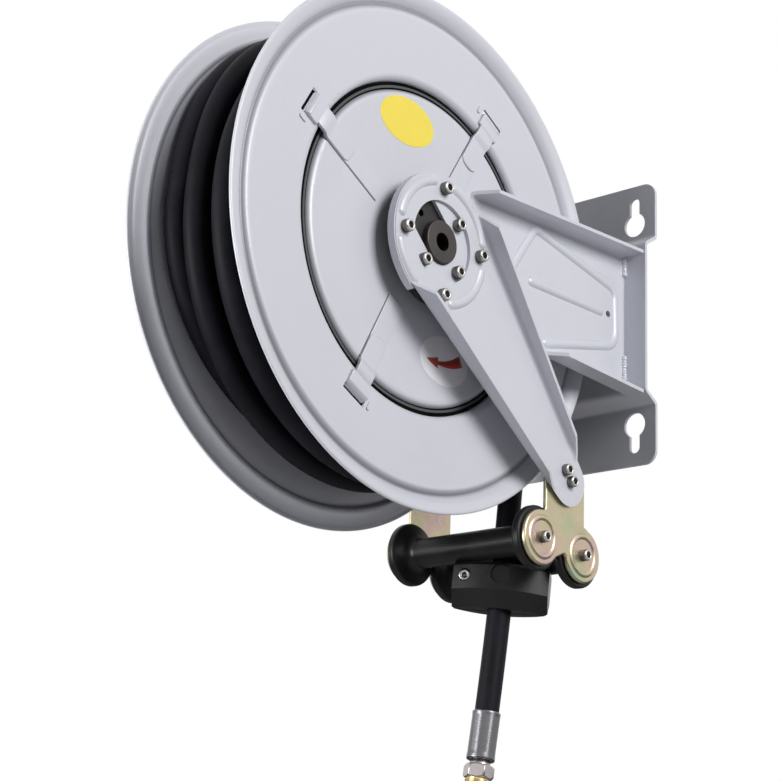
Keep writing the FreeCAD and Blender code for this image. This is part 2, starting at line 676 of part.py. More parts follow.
def make_bracket():
    body = new_body("roller_bracket_near")
    sketch = new_sketch(body, "YZ_Plane", "Dims.arm_inside")
    left = -126.0
    right = -73.7
    top = TIP_Z + 15
    neck = math.degrees(math.acos((left - FRONT_Y) / LOBE_R))
    shoulder = math.degrees(math.acos((right - REAR_Y) / LOBE_R))
    draw(sketch, lobe_point(FRONT_Y, FRONT_Z, neck),
         [(left, top - 18), (left + 5.3, top - 5.3, left + 18, top), (right - 18, top),
          (right - 5.3, top - 5.3, right, top - 18), lobe_point(REAR_Y, REAR_Z, shoulder),
          (*lobe_point(REAR_Y, REAR_Z, -60), *lobe_point(REAR_Y, REAR_Z, 184)),
          lobe_point(FRONT_Y, FRONT_Z, -38),
          (*lobe_point(FRONT_Y, FRONT_Z, -160), *lobe_point(FRONT_Y, FRONT_Z, neck))])
    pad(body, sketch, "Dims.sheet")
    round_edges(body, 3, lambda edge: abs(edge.Length - SHEET) < 0.01 and edge.CenterOfMass.z < -185)
    round_edges(body, 1.6, lambda edge: (abs(edge.BoundBox.XMin - ARM_OUT) < 0.01
                                         and edge.BoundBox.ZMin < FRONT_Z - 15))
    sketch = new_sketch(body, "YZ_Plane", "Dims.arm_inside + 20")
    for y, z in ((FRONT_Y, FRONT_Z), (REAR_Y, REAR_Z)):
        draw_circle(sketch, y, z, 3.2)
    for y, z in TIP_SCREWS:
        draw_circle(sketch, AXIS_Y + y, z, 3.2)
    cut(body, sketch)
    for y, z in ((FRONT_Y, FRONT_Z), (REAR_Y, REAR_Z)):
        sketch = new_sketch(body, "XY_Plane", place=at(0, y, z))
        draw(sketch, (ARM_OUT, 13.5), [(ARM_OUT + 1.2, 16, ARM_OUT, 18.5), (ARM_OUT, 13.5)])
        spin(body, sketch)


def make_guide_screws():
    sets = (("bracket_screws_near", [(AXIS_Y + y, z) for y, z in TIP_SCREWS], CAP_OUT, ARM_IN - 4.5),
            ("axle_screws_near", [(FRONT_Y, FRONT_Z), (REAR_Y, REAR_Z)], ARM_OUT, ARM_IN - 9))
    for label, places, seat, tail in sets:
        body = new_body(label)
        for y, z in places:
            sketch = new_sketch(body, "XY_Plane", place=at(0, y, z))
            draw_rounded(sketch, [(tail, 0), (tail, SHANK_R), (seat, SHANK_R), (seat, 4.8),
                                  (seat + 6, 4.8, 1), (seat + 6, 0)])
            spin(body, sketch)
        sketch = new_sketch(body, "YZ_Plane", str(seat + 6))
        for y, z in places:
            draw_hexagon(sketch, y, z, 5)
        cut(body, sketch, "3.5")


def make_roller(label, y, z):
    """One axle and the near half of its roller, whose far half is its mirror image."""
    bore = ARM_IN - 9.5
    lathe("roller_axle_" + label, [[(-ARM_IN, SHANK_R + 0.05), (-ARM_IN, AXLE_R), (ARM_IN, AXLE_R),
                                    (ARM_IN, SHANK_R + 0.05), (bore, SHANK_R + 0.05), (bore, 0),
                                    (-bore, 0), (-bore, SHANK_R + 0.05)]], at(0, y, z), False)
    body = new_body(f"roller_{label}_near", at(0, y, z))
    sketch = new_sketch(body, "XY_Plane")
    body_r = SIZES["roller_size"] / 2
    rim_r = SIZES["roller_flange"] / 2
    draw_rounded(sketch, [(0, AXLE_R + RUN_FIT), (0, body_r), (59, body_r, 8), (64, rim_r, 3),
                          (ROLLER_END, rim_r, 2), (ROLLER_END, rim_r - 6), (68, rim_r - 8),
                          (68, 9), (ROLLER_END, 9), (ROLLER_END, AXLE_R + RUN_FIT)])
    spin(body, sketch)
    mirror(f"roller_{label}_far", f"roller_{label}_near")


# Hose: eight turns on the barrel, then a free stretch down between the rollers.
LAY_X = (44.4, 24.0, 3.6, -16.8, -37.1)
EXIT_X = 16.2
ROUTE_END = [(16.2, -93.95, -110.0), (14.2, -102.0, -210.0), (12.4, -111.5, -300.0),
             (10.6, -122.3, -372.0)]
INNER = SIZES["inner_layer"]
OUTER = SIZES["outer_layer"]


def exit_angle():
    """The angle at which the free stretch leaves the outer layer, in degrees."""
    y, z = ROUTE_END[0][1] - AXIS_Y, ROUTE_END[0][2]
    return math.degrees(math.atan2(z, y) + math.acos(OUTER / math.hypot(y, z)))


LEAVE = exit_angle()
ROUTE = [(EXIT_X, AXIS_Y + ring_point(OUTER, LEAVE)[0], ring_point(OUTER, LEAVE)[1])] + ROUTE_END
# Each change of lay in the inner layer, and the climb from layer to layer: quarter turns before
# the exit at its start and end, and the place or radius there. The outer layer is a plain helix
# that crosses over, between two and four quarter turns before the exit, to the place of the exit.
SHIFTS_X = [(26 - 4 * i, 24 - 4 * i, LAY_X[i], LAY_X[i + 1]) for i in range(4)]
LOOSE = 9.5                     # how far the outer turns stand off the inner ones at the top
SHIFTS_R = [(11, 10, INNER, OUTER), (10, 9.5, OUTER, OUTER + LOOSE), (9, 8, OUTER + LOOSE, OUTER),
            (6, 5.5, OUTER, OUTER + LOOSE), (5, 4, OUTER + LOOSE, OUTER)]
HELIX = 10
CROSS_FROM = 4
CROSS_TO = 2
CROSS_X = -4.4
STEP = SIZES["hose_pitch"] / 4
QUARTERS = 27
STOPS = sorted(list(range(QUARTERS + 1)) + [9.5, 5.5], reverse=True)


def eased(quarters, shifts):
    """Value and slope per quarter of a lay that changes by half cosine waves."""
    value = shifts[0][2]
    slope = 0.0
    for start, end, before, after in shifts:
        part = (start - quarters) / (start - end)
        if part >= 1:
            value = after
        elif part > 0:
            value = before + (after - before) * (1 - math.cos(math.pi * part)) / 2
            slope = (after - before) * math.pi * math.sin(math.pi * part) / 2 / (start - end)
    return value, slope


def lay_x(quarters):
    """Place along the drum and its slope per quarter turn."""
    if quarters > HELIX:
        return eased(quarters, SHIFTS_X)
    if quarters >= CROSS_FROM:
        return CROSS_X - STEP * (quarters - CROSS_FROM), STEP
    if quarters <= CROSS_TO:
        return EXIT_X, 0.0
    span = CROSS_FROM - CROSS_TO
    part = (CROSS_FROM - quarters) / span
    ease = part * part * (3 - 2 * part)
    x = CROSS_X + (EXIT_X - CROSS_X) * ease + span * STEP * part * (1 - part) ** 2
    slope = (EXIT_X - CROSS_X) * 6 * part * (1 - part) + span * STEP * (1 - part) * (1 - 3 * part)
    return x, slope / span


def lay_point(quarters):
    """Centre of the wound hose and its direction, so many quarter turns before the exit."""
    x, x_slope = lay_x(quarters)
    radius, r_slope = eased(quarters, SHIFTS_R)
    angle = math.radians(LEAVE + 90 * quarters)
    out = V(0, math.cos(angle), math.sin(angle))
    ahead = V(0, math.sin(angle), -math.cos(angle))
    way = V(x_slope, 0, 0) + out * r_slope + ahead * (radius * math.pi / 2)
    return V(x, AXIS_Y, 0) + out * radius, way.normalize()


def arc_from(start, way, end):
    """The arc that leaves start along way and ends at end."""
    chord = end - start
    aside = way - chord * (way.dot(chord) / chord.dot(chord))
    if aside.Length < 1e-7:
        return Part.LineSegment(start, end).toShape()
    angle = way.getAngle(chord)
    middle = (start + end) * 0.5 + aside.normalize() * (chord.Length / 2 * math.tan(angle / 2))
    return Part.Arc(start, middle, end).toShape()


def biarc(start, way, end, end_way):
    """Two arcs that meet smoothly between two points with given directions."""
    gap = end - start
    both = way + end_way
    square = both.dot(both) - 4
    lean = gap.dot(both)
    if abs(square) < 1e-9:
        reach = gap.dot(gap) / (4 * gap.dot(end_way))
    else:
        reach = (lean - math.sqrt(lean ** 2 - square * gap.dot(gap))) / square
    meet = (start + end + (way - end_way) * reach) * 0.5
    return [arc_from(start, way, meet), arc_from(end, end_way * -1, meet)]


def rounded_route(points):
    """Edges through a route's points: straight runs joined by tangent arcs."""
    spots = [V(*point) for point in points]
    edges = []
    here = spots[0]
    for before, corner, after in zip(spots, spots[1:], spots[2:]):
        back = before - corner
        ahead = after - corner
        turn = math.pi - back.getAngle(ahead)
        leg = 0.45 * min(back.Length, ahead.Length)
        print("free hose bend radius", round(leg / math.tan(turn / 2)))
        first = corner + back.normalize() * leg
        last = corner + ahead.normalize() * leg
        edges.append(Part.LineSegment(here, first).toShape())
        edges.append(arc_from(first, back * -1, last))
        here = last
    edges.append(Part.LineSegment(here, spots[-1]).toShape())
    return edges


def make_tube(label, edges, start, way):
    """A solid hose along edges."""
    path = doc.addObject("Part::Feature", label + "_path")
    path.Shape = Part.Wire(Part.__sortEdges__(edges))
    ring = doc.addObject("Part::Circle", label + "_ring")
    ring.setExpression("Radius", "Dims.hose_size / 2")
    ring.Placement = FreeCAD.Placement(start, FreeCAD.Rotation(V(0, 0, 1), way))
    doc.recompute()
    tube = doc.addObject("Part::Sweep", label)
    tube.Label = label
    tube.Sections = [ring]
    tube.Spine = (path, [f"Edge{i}" for i in range(1, len(edges) + 1)])
    tube.Solid = True
    tube.Frenet = False
    nodes[label] = tube
    return path


def hose_gap(points, near):
    """Least gap of the wound hose to itself, among points more than near steps apart."""
    least = 1e9
    for i, one in enumerate(points):
        for other in points[i + near:]:
            least = min(least, one.distanceToPoint(other))
    return least - SIZES["hose_size"]


def make_hose():
    spots = [lay_point(quarters) for quarters in STOPS]
    start, way = spots[0]
    tail = start - way * (SIZES["hose_size"] + 1)
    edges = [Part.LineSegment(tail, start).toShape()]
    for (one, one_way), (two, two_way) in zip(spots, spots[1:]):
        edges += biarc(one, one_way, two, two_way)
    path = make_tube("hose_turns", edges, tail, way)
    samples = path.Shape.discretize(Number=2400)
    print("wound hose: turns", QUARTERS / 4, "length", round(path.Shape.Length),
          "least gap to itself", round(hose_gap(samples, 60), 2))
    edges = rounded_route(ROUTE)
    first = V(*ROUTE[1]) - V(*ROUTE[0])
    path = make_tube("hose_free", edges, V(*ROUTE[0]), first)
    print("free hose: length", round(path.Shape.Length, 1))


# Hose stop, ferrule and end fitting, in line with the hose where they sit.
STOP_WAY = V(*ROUTE[3]) - V(*ROUTE[2])
STOP_MIDDLE = V(*ROUTE[2]) + STOP_WAY * (38.6 / 90)
STOP_TURN = 35.0
STOP_HALF = SIZES["stop_height"] / 2
STOP_SCREW = 30.0               # along the stop from its middle
STOP_SCREW_UP = 6.5             # above its middle
END_WAY = (V(*ROUTE[4]) - V(*ROUTE[3])).normalize()
HOSE_END = V(*ROUTE[4])
FERRULE = 40.0


def make_stop():
    upright = FreeCAD.Rotation(V(0, 0, -1), STOP_WAY)
    reach = SIZES["stop_length"] / 2
    deep = SIZES["stop_width"] / 2
    for label, turn in (("hose_stop_front", STOP_TURN), ("hose_stop_back", STOP_TURN + 180)):
        place = FreeCAD.Placement(STOP_MIDDLE, upright.multiply(FreeCAD.Rotation(V(0, 0, 1), turn)))
        body = new_body(label, place)
        sketch = new_sketch(body, "XY_Plane", "-Dims.stop_height / 2")
        draw(sketch, (reach, -0.7), [(-reach, -0.7), (-reach, -15), (0, -deep, reach, -15), (reach, -0.7)])
        pad(body, sketch, "Dims.stop_height")
        outer = lambda edge, z: (abs(edge.BoundBox.ZMin - z) < 0.01 and abs(edge.BoundBox.ZMax - z) < 0.01
                                 and edge.BoundBox.YMin < -20)
        round_edges(body, 13, lambda edge: outer(edge, -STOP_HALF), "Chamfer")
        round_edges(body, 3, lambda edge: outer(edge, STOP_HALF), "Chamfer")
        sketch = new_sketch(body, "XY_Plane", "Dims.stop_height")
        draw_circle(sketch, 0, 0, HOSE_R + 0.15)
        cut(body, sketch)
        sketch = new_sketch(body, "XZ_Plane", "Dims.stop_width / 2 + 1")
        draw_circle(sketch, 0, STOP_HALF - 10, 8)
        cut(body, sketch, "3")
        sketch = new_sketch(body, "XZ_Plane", "Dims.stop_width / 2 + 1")
        draw_circle(sketch, -STOP_SCREW, STOP_SCREW_UP, 5.4)
        cut(body, sketch, "14")
        sketch = new_sketch(body, "XZ_Plane", "Dims.stop_width / 2 + 1")
        draw_circle(sketch, -STOP_SCREW, STOP_SCREW_UP, 2.9)
        cut(body, sketch)
        along = FreeCAD.Placement(V(STOP_SCREW, 0, STOP_SCREW_UP), FreeCAD.Rotation(V(0, 0, 1), -90))
        sketch = new_sketch(body, "XY_Plane", place=along)
        draw_rounded(sketch, [(0, 0), (0, 2.65), (12, 2.65), (12, 0)])
        spin(body, sketch, kind="Groove")
    screws = new_body("hose_stop_screws", FreeCAD.Placement(
        STOP_MIDDLE, upright.multiply(FreeCAD.Rotation(V(0, 0, 1), STOP_TURN))))
    along = FreeCAD.Placement(V(-STOP_SCREW, 0, STOP_SCREW_UP), FreeCAD.Rotation(V(0, 0, 1), -90))
    sketch = new_sketch(screws, "XY_Plane", place=along)
    draw_rounded(sketch, [(-11, 0), (-11, 2.6), (14, 2.6), (14, 5), (20, 5, 0.8), (20, 0)])
    screw = spin(screws, sketch)
    sketch = new_sketch(screws, "XZ_Plane", "20")
    draw_hexagon(sketch, -STOP_SCREW, STOP_SCREW_UP, 4)
    socket = cut(screws, sketch, "3")
    repeat_round(screws, [screw, socket], 2, role="Z_Axis")


def make_fitting():
    along = FreeCAD.Rotation(V(1, 0, 0), END_WAY)
    crimp = [(0, HOSE_R + 0.02), (0, 11.8, 0.8)]
    for i in range(4):
        left = 7 + 7 * i
        crimp += [(left, 11.8), (left + 1, 11.2), (left + 4, 11.2), (left + 5, 11.8)]
    crimp += [(FERRULE, 11.8, 1.5), (FERRULE, 7)]
    start = HOSE_END - END_WAY * 22
    lathe("hose_ferrule", [[(0, HOSE_R)] + crimp[1:] + [(22, 7), (22, HOSE_R)]],
          FreeCAD.Placement(start, along), False)
    nut = new_body("fitting_nut", FreeCAD.Placement(start + END_WAY * FERRULE, along))
    sketch = new_sketch(nut, "XY_Plane")
    draw_rounded(sketch, [(0, 6), (0, 8.5), (5, 8.5), (5, 6)])
    spin(nut, sketch)
    sketch = new_sketch(nut, "YZ_Plane", "4")
    draw_hexagon(sketch, 0, 0, 22)
    draw_circle(sketch, 0, 0, 6)
    pad(nut, sketch, "11")
    lathe("fitting_thread", [[(15, 6.5), (15, 9.4), (17, 9.4), (17, 10.45, 0.6), (31, 10.45, 1), (31, 6.5)]],
          FreeCAD.Placement(start + END_WAY * FERRULE, along), False)


make_wall_plate()
make_support_arm()
mirror("support_arm_far", "support_arm_near")
make_guide_arm()
mirror("guide_arm_far", "guide_arm_near")
make_hub()
for label in ("hub_flange", "cap_screws", "clamp_screws"):
    mirror(label + "_far", label + "_near")
make_inlet()
make_drum()
for index, angle in enumerate(STRAP_ANGLES, 1):
    make_strap(index, angle)
make_spring()
make_ratchet()
make_bracket()
make_guide_screws()
for label in ("roller_bracket", "bracket_screws", "axle_screws"):
    mirror(label + "_far", label + "_near")
make_roller("front", FRONT_Y, FRONT_Z)
make_roller("rear", REAR_Y, REAR_Z)
make_hose()
make_stop()
make_fitting()

doc.recompute()
for thing in doc.Objects:
    if "Invalid" in thing.State or "Error" in thing.State:
        raise RuntimeError(thing.Label + " did not build")
for label, thing in nodes.items():
    if thing.Shape.isNull() or not thing.Shape.isValid() or thing.Shape.Volume <= 0:
        raise RuntimeError(label + " has no valid shape")
for label, thing in nodes.items():
    thing.Shape.exportStep(f"parts/{label}.step")
    box = thing.Shape.BoundBox
    print(f"{label:22s} {len(thing.Shape.Solids)} {thing.Shape.Volume / 1000:9.1f} cm3",
          [round(v, 1) for v in (box.XMin, box.XMax, box.YMin, box.YMax, box.ZMin, box.ZMax)])
print(len(nodes), "nodes")
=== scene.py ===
import bpy
import numpy as np
from bpy.props import FloatProperty, FloatVectorProperty, IntProperty, PointerProperty
from mathutils import Matrix, Vector


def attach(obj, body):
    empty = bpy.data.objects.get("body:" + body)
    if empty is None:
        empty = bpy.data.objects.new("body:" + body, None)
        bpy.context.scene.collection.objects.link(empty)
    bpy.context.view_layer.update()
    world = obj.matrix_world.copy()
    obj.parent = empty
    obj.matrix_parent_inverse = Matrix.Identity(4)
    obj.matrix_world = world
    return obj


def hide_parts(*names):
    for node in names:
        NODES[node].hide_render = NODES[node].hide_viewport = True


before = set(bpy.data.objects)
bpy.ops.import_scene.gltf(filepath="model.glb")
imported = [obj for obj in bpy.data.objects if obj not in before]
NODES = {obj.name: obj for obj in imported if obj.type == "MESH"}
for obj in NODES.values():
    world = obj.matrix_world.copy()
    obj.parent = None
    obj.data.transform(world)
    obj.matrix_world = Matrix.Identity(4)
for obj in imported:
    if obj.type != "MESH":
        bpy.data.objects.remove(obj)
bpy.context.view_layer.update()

bl_info = {
    "name": "Hose Reel Looks",
    "version": (1, 0, 0),
    "blender": (4, 5, 0),
    "location": "3D View > Sidebar > Hose Reel",
    "description": "Dresses the solids of a wall-mounted spring hose reel",
    "category": "Object",
}

# Everything is in metres in the frame of the solids: +X is the spring side, +Y goes into the
# wall, +Z is up, and the drum turns about the line y = AXIS_Y, z = 0.
AXIS_Y = -0.266
COVER_FACE = 0.0563             # the spring cover's outer face
WEB_FACE = 0.0752               # the support arm's outer face
CAP_SEAT = 0.0782               # where the screws of the guide arm sit
CLAMP_SEAT = 0.0752             # where the screws of the support arm sit

# The free stretch of hose: control points of its line, from the winding to the fitting.
ROUTE = [(0.0162, -0.08892, -0.00881), (0.0162, -0.09395, -0.110), (0.0142, -0.1020, -0.210),
         (0.0124, -0.1115, -0.300), (0.0106, -0.1223, -0.372)]

# The fitting at its end: how much of the hose the ferrule covers, the ferrule's radius and length,
# its dies, how deep they press, how far from its start they begin and over how much they fade in,
# where nut and nipple start from the ferrule's start, the nut's half width over its flats, the
# thread's radius, the radius at its ends, the bore's, and the thread's length, pitch and depth.
GRIP = 0.022
FERRULE_RADIUS = 0.0117
FERRULE_LENGTH = 0.040
DIES = 8
DIE_DEPTH = 0.00015
DIE_START = 0.0015
DIE_FADE = 0.003
NUT_START = 0.040
NIPPLE_START = 0.055
NUT_FLAT = 0.0110
THREAD_RADIUS = 0.01045
THREAD_END = 0.0094
BORE = 0.0070
THREAD_LENGTH = 0.016
THREAD_PITCH = 0.001814
THREAD_DEPTH = 0.00085
# The nut from its neck to its end: (place along it, radius of the cone, hexagon or round) in
# millimetres.
NUT = [(0.0, 8.2, 0), (0.2, 8.5, 0), (3.6, 8.5, 0), (4.0, 8.7, 0), (4.1, 10.9, 1), (4.8, 11.7, 1),
       (5.6, 12.9, 1), (9.0, 12.9, 1), (13.4, 12.9, 1), (14.2, 11.9, 1), (14.9, 11.0, 1),
       (15.0, 10.6, 1), (15.0, 6.6, 0)]

# The hose stop: its share of the way between two control points, its turn round the hose, where
# its screws sit from its middle (up, out, along) and the ridges round a head.
STOP_SHARE = 38.6 / 90
STOP_TURN = 35
STOP_SCREW = (0.0065, 0.014, 0.030)
STOP_RIDGES = 24

# The winding, counted in quarter turns back from the point where the free stretch leaves: five
# places along the drum in the inner layer, then a climb to the outer layer, a plain helix that
# crosses over to the place of the exit between CROSS_FROM and CROSS_TO. Two turns of the outer
# layer lie LOOSE at the top.
QUARTERS = 27
LAY_X = (0.0444, 0.0240, 0.0036, -0.0168, -0.0371)
HELIX = 10
CROSS_FROM = 4
CROSS_TO = 2
CROSS_X = -0.0044
LOOSE = 0.0095
HOSE_ROWS = 900
TAIL_ROWS = 8
WOUND_LENGTH = 7.0

# The edge of a disc round from its back to its face: corners (radius, height over the face) in
# millimetres. A shoulder falls into a valley, and a broad rounded band runs on to the rolled rim.
EDGE = [(190.5, -1.97), (192.5, -1.97), (194.4, -2.20), (196.0, -3.40), (198.4, -4.90),
        (201.0, -4.90), (203.8, -1.80), (207.0, 0.40), (210.5, 1.90), (213.2, 1.50), (214.9, 1.60),
        (214.9, 3.60),
        (212.5, 4.00), (209.5, 3.20), (205.5, 1.60), (202.4, -0.60), (200.2, -2.90), (199.0, -2.90),
        (197.2, -1.40), (195.2, -0.30), (193.0, -0.03), (189.5, -0.03)]
DISCS = {"disc_near": (0.0584, 1), "disc_far": (-0.0496, -1)}   # place of the face, side
DISC_SHEET = 0.002              # thickness of the sheet
FLAT_END = 0.1916               # where the flat of a disc's face ends
BACK_END = 0.1931               # where the flat of its back ends
SAME_PLANE = 0.00005            # how near to that back a point counts as on it
RIM_COLUMNS = 300
# A black ring of painted shade in the gap round the spring cover: corners (place along the drum,
# radius).
GAP_SHADE_RING = [(0.0510, 0.1364), (0.0530, 0.1362), (0.0534, 0.1356), (0.0534, 0.1302),
        (0.0532, 0.1296), (0.0510, 0.1290)]

# The straps over the spring cover: their directions and, from the hub outwards, rows of
# (radius, half width, foot, top) in millimetres for the strip, the tongue on it, the hooked pad and
# the dark sheet of painted shade a little wider than the strip, along its edges.
STRAP_TURNS = (59.0, 149.6, 242.0, 329.0)
STRIP = [(60, 9.5, 56.2, 57.5), (60.2, 9.5, 56.2, 57.5), (126.5, 9.5, 56.2, 57.5),
         (127, 9.5, 56.2, 57.5), (129, 9.5, 56.6, 57.9), (132, 9.5, 58.3, 59.5),
         (134, 9.5, 58.5, 59.8), (134.5, 9.5, 58.5, 59.8), (150, 9.5, 58.5, 59.8)]
TONGUE = [(99.0, 1.0, 57.4, 57.5), (99.1, 3.0, 57.4, 58.4), (99.4, 4.0, 57.4, 58.6),
          (100.2, 6.2, 57.4, 58.6), (101.8, 8.4, 57.4, 58.6), (104, 9.4, 57.4, 58.6),
          (125.5, 9.4, 57.4, 58.6), (126, 9.4, 57.4, 58.6), (128, 9.4, 57.8, 59.0),
          (131, 9.4, 59.4, 60.6), (133, 9.4, 59.7, 60.9), (133.5, 9.4, 59.7, 60.9),
          (150, 9.4, 59.7, 60.9)]
PAD = [(141.4, 11.6, 58.3, 59.9), (142.0, 12.2, 58.3, 61.0), (142.4, 12.2, 58.3, 61.0),
       (150.2, 12.2, 58.3, 61.1), (150.6, 12.2, 58.3, 61.1), (151.5, 12.2, 58.3, 61.7),
       (152.4, 12.2, 58.3, 61.8), (153.2, 12.1, 58.3, 61.3), (154.1, 11.9, 58.2, 60.4),
       (155.0, 11.7, 57.4, 59.2), (155.5, 11.6, 56.4, 57.8), (155.6, 11.6, 55.4, 56.4)]
# A dark sheet just wider than the strip: painted shade along the strip's edges.
STRAP_SHADE = [(60, 10.2, 56.2, 56.36), (60.2, 10.2, 56.2, 56.36), (126, 10.2, 56.2, 56.36),
        (126.2, 10.2, 56.2, 56.36)]

# Screws in pairs or rings: centres (y, z) in the plane of their seats, or radii of their rings.
TIP_SCREWS = [(AXIS_Y + 0.1611, -0.1533), (AXIS_Y + 0.1680, -0.1621)]
ROLLER_AXES = [(-0.1300, -0.2135), (-0.0755, -0.2199)]
CAP_RING = 0.04465
CLAMP_RING = 0.0282
HUB_HEAD_HEIGHT = 0.0068
GUIDE_HEAD_HEIGHT = 0.0060
SOCKET = 0.0050                 # hexagon socket across its flats

# The labels: finish, centre (y, z), half width, half height and thickness of the two ovals, and
# the arrow's thickness and how high over the pale film its middle lies.
LABELS = {"oval_label": ("Yellow Label", (AXIS_Y - 0.0220, 0.1010), 0.032, 0.020, 0.00025),
          "pale_film": ("Pale Film", (AXIS_Y + 0.0305, -0.0875), 0.0288, 0.0202, 0.00015)}
LABEL_COLUMNS = 96
PRINT_THICKNESS = 0.00008
PRINT_LIFT = 0.00007

# The weld beads: their line's y, their heights (low, high), their radius and one drop's length.
WELD_Y = -0.0186
WELD_RUNS = ((0.0385, 0.0575), (-0.0575, -0.0330))
WELD_RADIUS = 0.0030
WELD_DROP = 0.0024
WELD_ROWS = 70

# The camera of the photograph: its place, its own right, up and back directions and its lens.
CAMERA_PLACE = (1.07213, -1.40012, -0.54450)
CAMERA_TURN = ((0.74114, 0.67056, 0.03260), (0.15735, -0.22071, 0.96256),
               (0.65265, -0.70826, -0.26909))
LENS = 93.26

FLOOR_REACH = 30.0
LAMP_AIM = (0.0, -0.2, -0.05)


class HoseSizes(bpy.types.PropertyGroup):
    diameter: FloatProperty(name="Diameter", description="Outside diameter of the hose",
                            default=0.0201, unit="LENGTH")
    pitch: FloatProperty(name="Pitch", description="Distance from turn to turn and layer to layer",
                         default=0.0206, unit="LENGTH")
    inner_layer: FloatProperty(name="Inner layer", description="Radius of the inner layer's line",
                               default=0.1567, unit="LENGTH")
    outer_layer: FloatProperty(name="Outer layer", description="Radius of the outer layer's line",
                               default=0.1773, unit="LENGTH")
    sides: IntProperty(name="Sides", description="Facets round the hose", default=32)


class ScrewSizes(bpy.types.PropertyGroup):
    cap_head: FloatProperty(name="Hub head", description="Head radius of the hub's screws",
                            default=0.0052, unit="LENGTH")
    guide_head: FloatProperty(name="Guide head", description="Head radius of the guide's screws",
                              default=0.0048, unit="LENGTH")
    knurl: FloatProperty(name="Knurl", description="Depth of the ridges round a head",
                         default=0.00028, unit="LENGTH")
    ridges: IntProperty(name="Ridges", description="Ridges round a head", default=30)


class ReelColours(bpy.types.PropertyGroup):
    paint: FloatVectorProperty(name="Paint", description="Powder coat of the sheet metal",
                               subtype="COLOR", default=(0.660, 0.668, 0.728))
    label: FloatVectorProperty(name="Label", description="Blank oval label on the spring cover",
                               subtype="COLOR", default=(0.95, 0.76, 0.075))
    arrow: FloatVectorProperty(name="Arrow", description="Arrow for the drum's way of turning",
                               subtype="COLOR", default=(0.40, 0.022, 0.010))
    plastic: FloatVectorProperty(name="Plastic", description="Rollers and hose stop",
                                 subtype="COLOR", default=(0.009, 0.009, 0.010))
    rubber: FloatVectorProperty(name="Hose cover", description="Rubber cover of the hose",
                                subtype="COLOR", default=(0.006, 0.006, 0.008))


class StageSizes(bpy.types.PropertyGroup):
    floor_drop: FloatProperty(name="Floor", description="Height of the floor under the origin",
                              default=-2.0, unit="LENGTH")
    key_power: FloatProperty(name="Key light", description="Power of the large lamp",
                             default=69.0, unit="POWER")
    fill_power: FloatProperty(name="Fill light", description="Power of the smaller lamp",
                              default=54.0, unit="POWER")
    ambient: FloatProperty(name="Ambient", description="Light from all round", default=0.04)


# ---------------------------------------------------------------------------------------------
# Meshes from numpy grids


def frame_along(way):
    """Three unit directions: way itself and two square to it, the first one level."""
    ahead = np.asarray(way, float)
    ahead = ahead / np.linalg.norm(ahead)
    level = np.cross(ahead, (1.0, 0.0, 0.0) if abs(ahead[0]) < 0.9 else (0.0, 0.0, 1.0))
    level = level / np.linalg.norm(level)
    return ahead, level, np.cross(ahead, level)


def grid_faces(rows, columns, closed, looped):
    """The squares of a grid of points, wrapped round its columns if closed and back from the last
    row to the first if looped: their corner numbers and their corners' shares of both ways."""
    across = columns if closed else columns - 1
    down = rows if looped else rows - 1
    r, c = np.meshgrid(np.arange(down), np.arange(across), indexing="ij")
    r, c = (np.stack(steps, axis=-1).reshape(-1, 4) for steps in ((r, r, r + 1, r + 1),
                                                                  (c, c + 1, c + 1, c)))
    return r % rows * columns + c % columns, np.stack([c / columns, r / down], axis=-1)


def make_piece(name, grids, material, closed=True, ends=False, looped=False, scale=(1.0, 1.0)):
    """One object from grids of points of shape (rows, columns, 3), each a skin of squares.

    Its UV map runs 0 to scale[0] round the columns and 0 to scale[1] along the rows. With ends,
    the first and the last ring of each skin are closed by a flat face; looped joins them."""
    points, faces, rings, places, base = [], [], [], [], 0
    for grid in grids:
        rows, columns = grid.shape[:2]
        quads, shares = grid_faces(rows, columns, closed, looped)
        places.append((shares * scale).reshape(-1, 2))
        points.append(grid.reshape(-1, 3))
        faces.append(quads + base)
        if ends:
            first = np.arange(columns)[::-1] + base
            last = np.arange(columns) + base + (rows - 1) * columns
            rings += [first, last]
        base += rows * columns
    quads = np.concatenate(faces)
    mesh = bpy.data.meshes.new(name)
    mesh.from_pydata(np.concatenate(points).tolist(), [],
                     quads.tolist() + [ring.tolist() for ring in rings])
    spots = np.concatenate(places + [np.zeros((sum(len(ring) for ring in rings), 2))])
    mesh.uv_layers.new(name="Surface").data.foreach_set("uv", spots.ravel())
    mesh.polygons.foreach_set("use_smooth", np.arange(len(mesh.polygons)) < len(quads))
    mesh.validate()
    mesh.update()
    piece = bpy.data.objects.new(name, mesh)
    bpy.context.scene.collection.objects.link(piece)
    mesh.materials.append(material)
    return piece


def full_turn(columns):
    """Angles of one turn, without the last, which is the first again."""
    return np.linspace(0, 2 * np.pi, columns, endpoint=False)


def rings(origin, way, along, reach, angle):
    """Rings round an axis: point = origin + along * way + reach * (cos t * side + sin t * up)."""
    ahead, side, up = frame_along(way)
    around = np.cos(angle)[:, None] * side + np.sin(angle)[:, None] * up
    return np.asarray(origin) + np.asarray(along)[:, None, None] * ahead + reach[..., None] * around


def turned(profile, origin, way, columns, wave=None):
    """A profile of (along, radius) carried round an axis. wave(t) is added to the radius."""
    along, radius = np.asarray(profile, float).T
    angle = full_turn(columns)
    reach = np.repeat(radius[:, None], columns, axis=1)
    if wave is not None:
        reach = reach + wave(angle)
    return rings(origin, way, along, reach, angle)


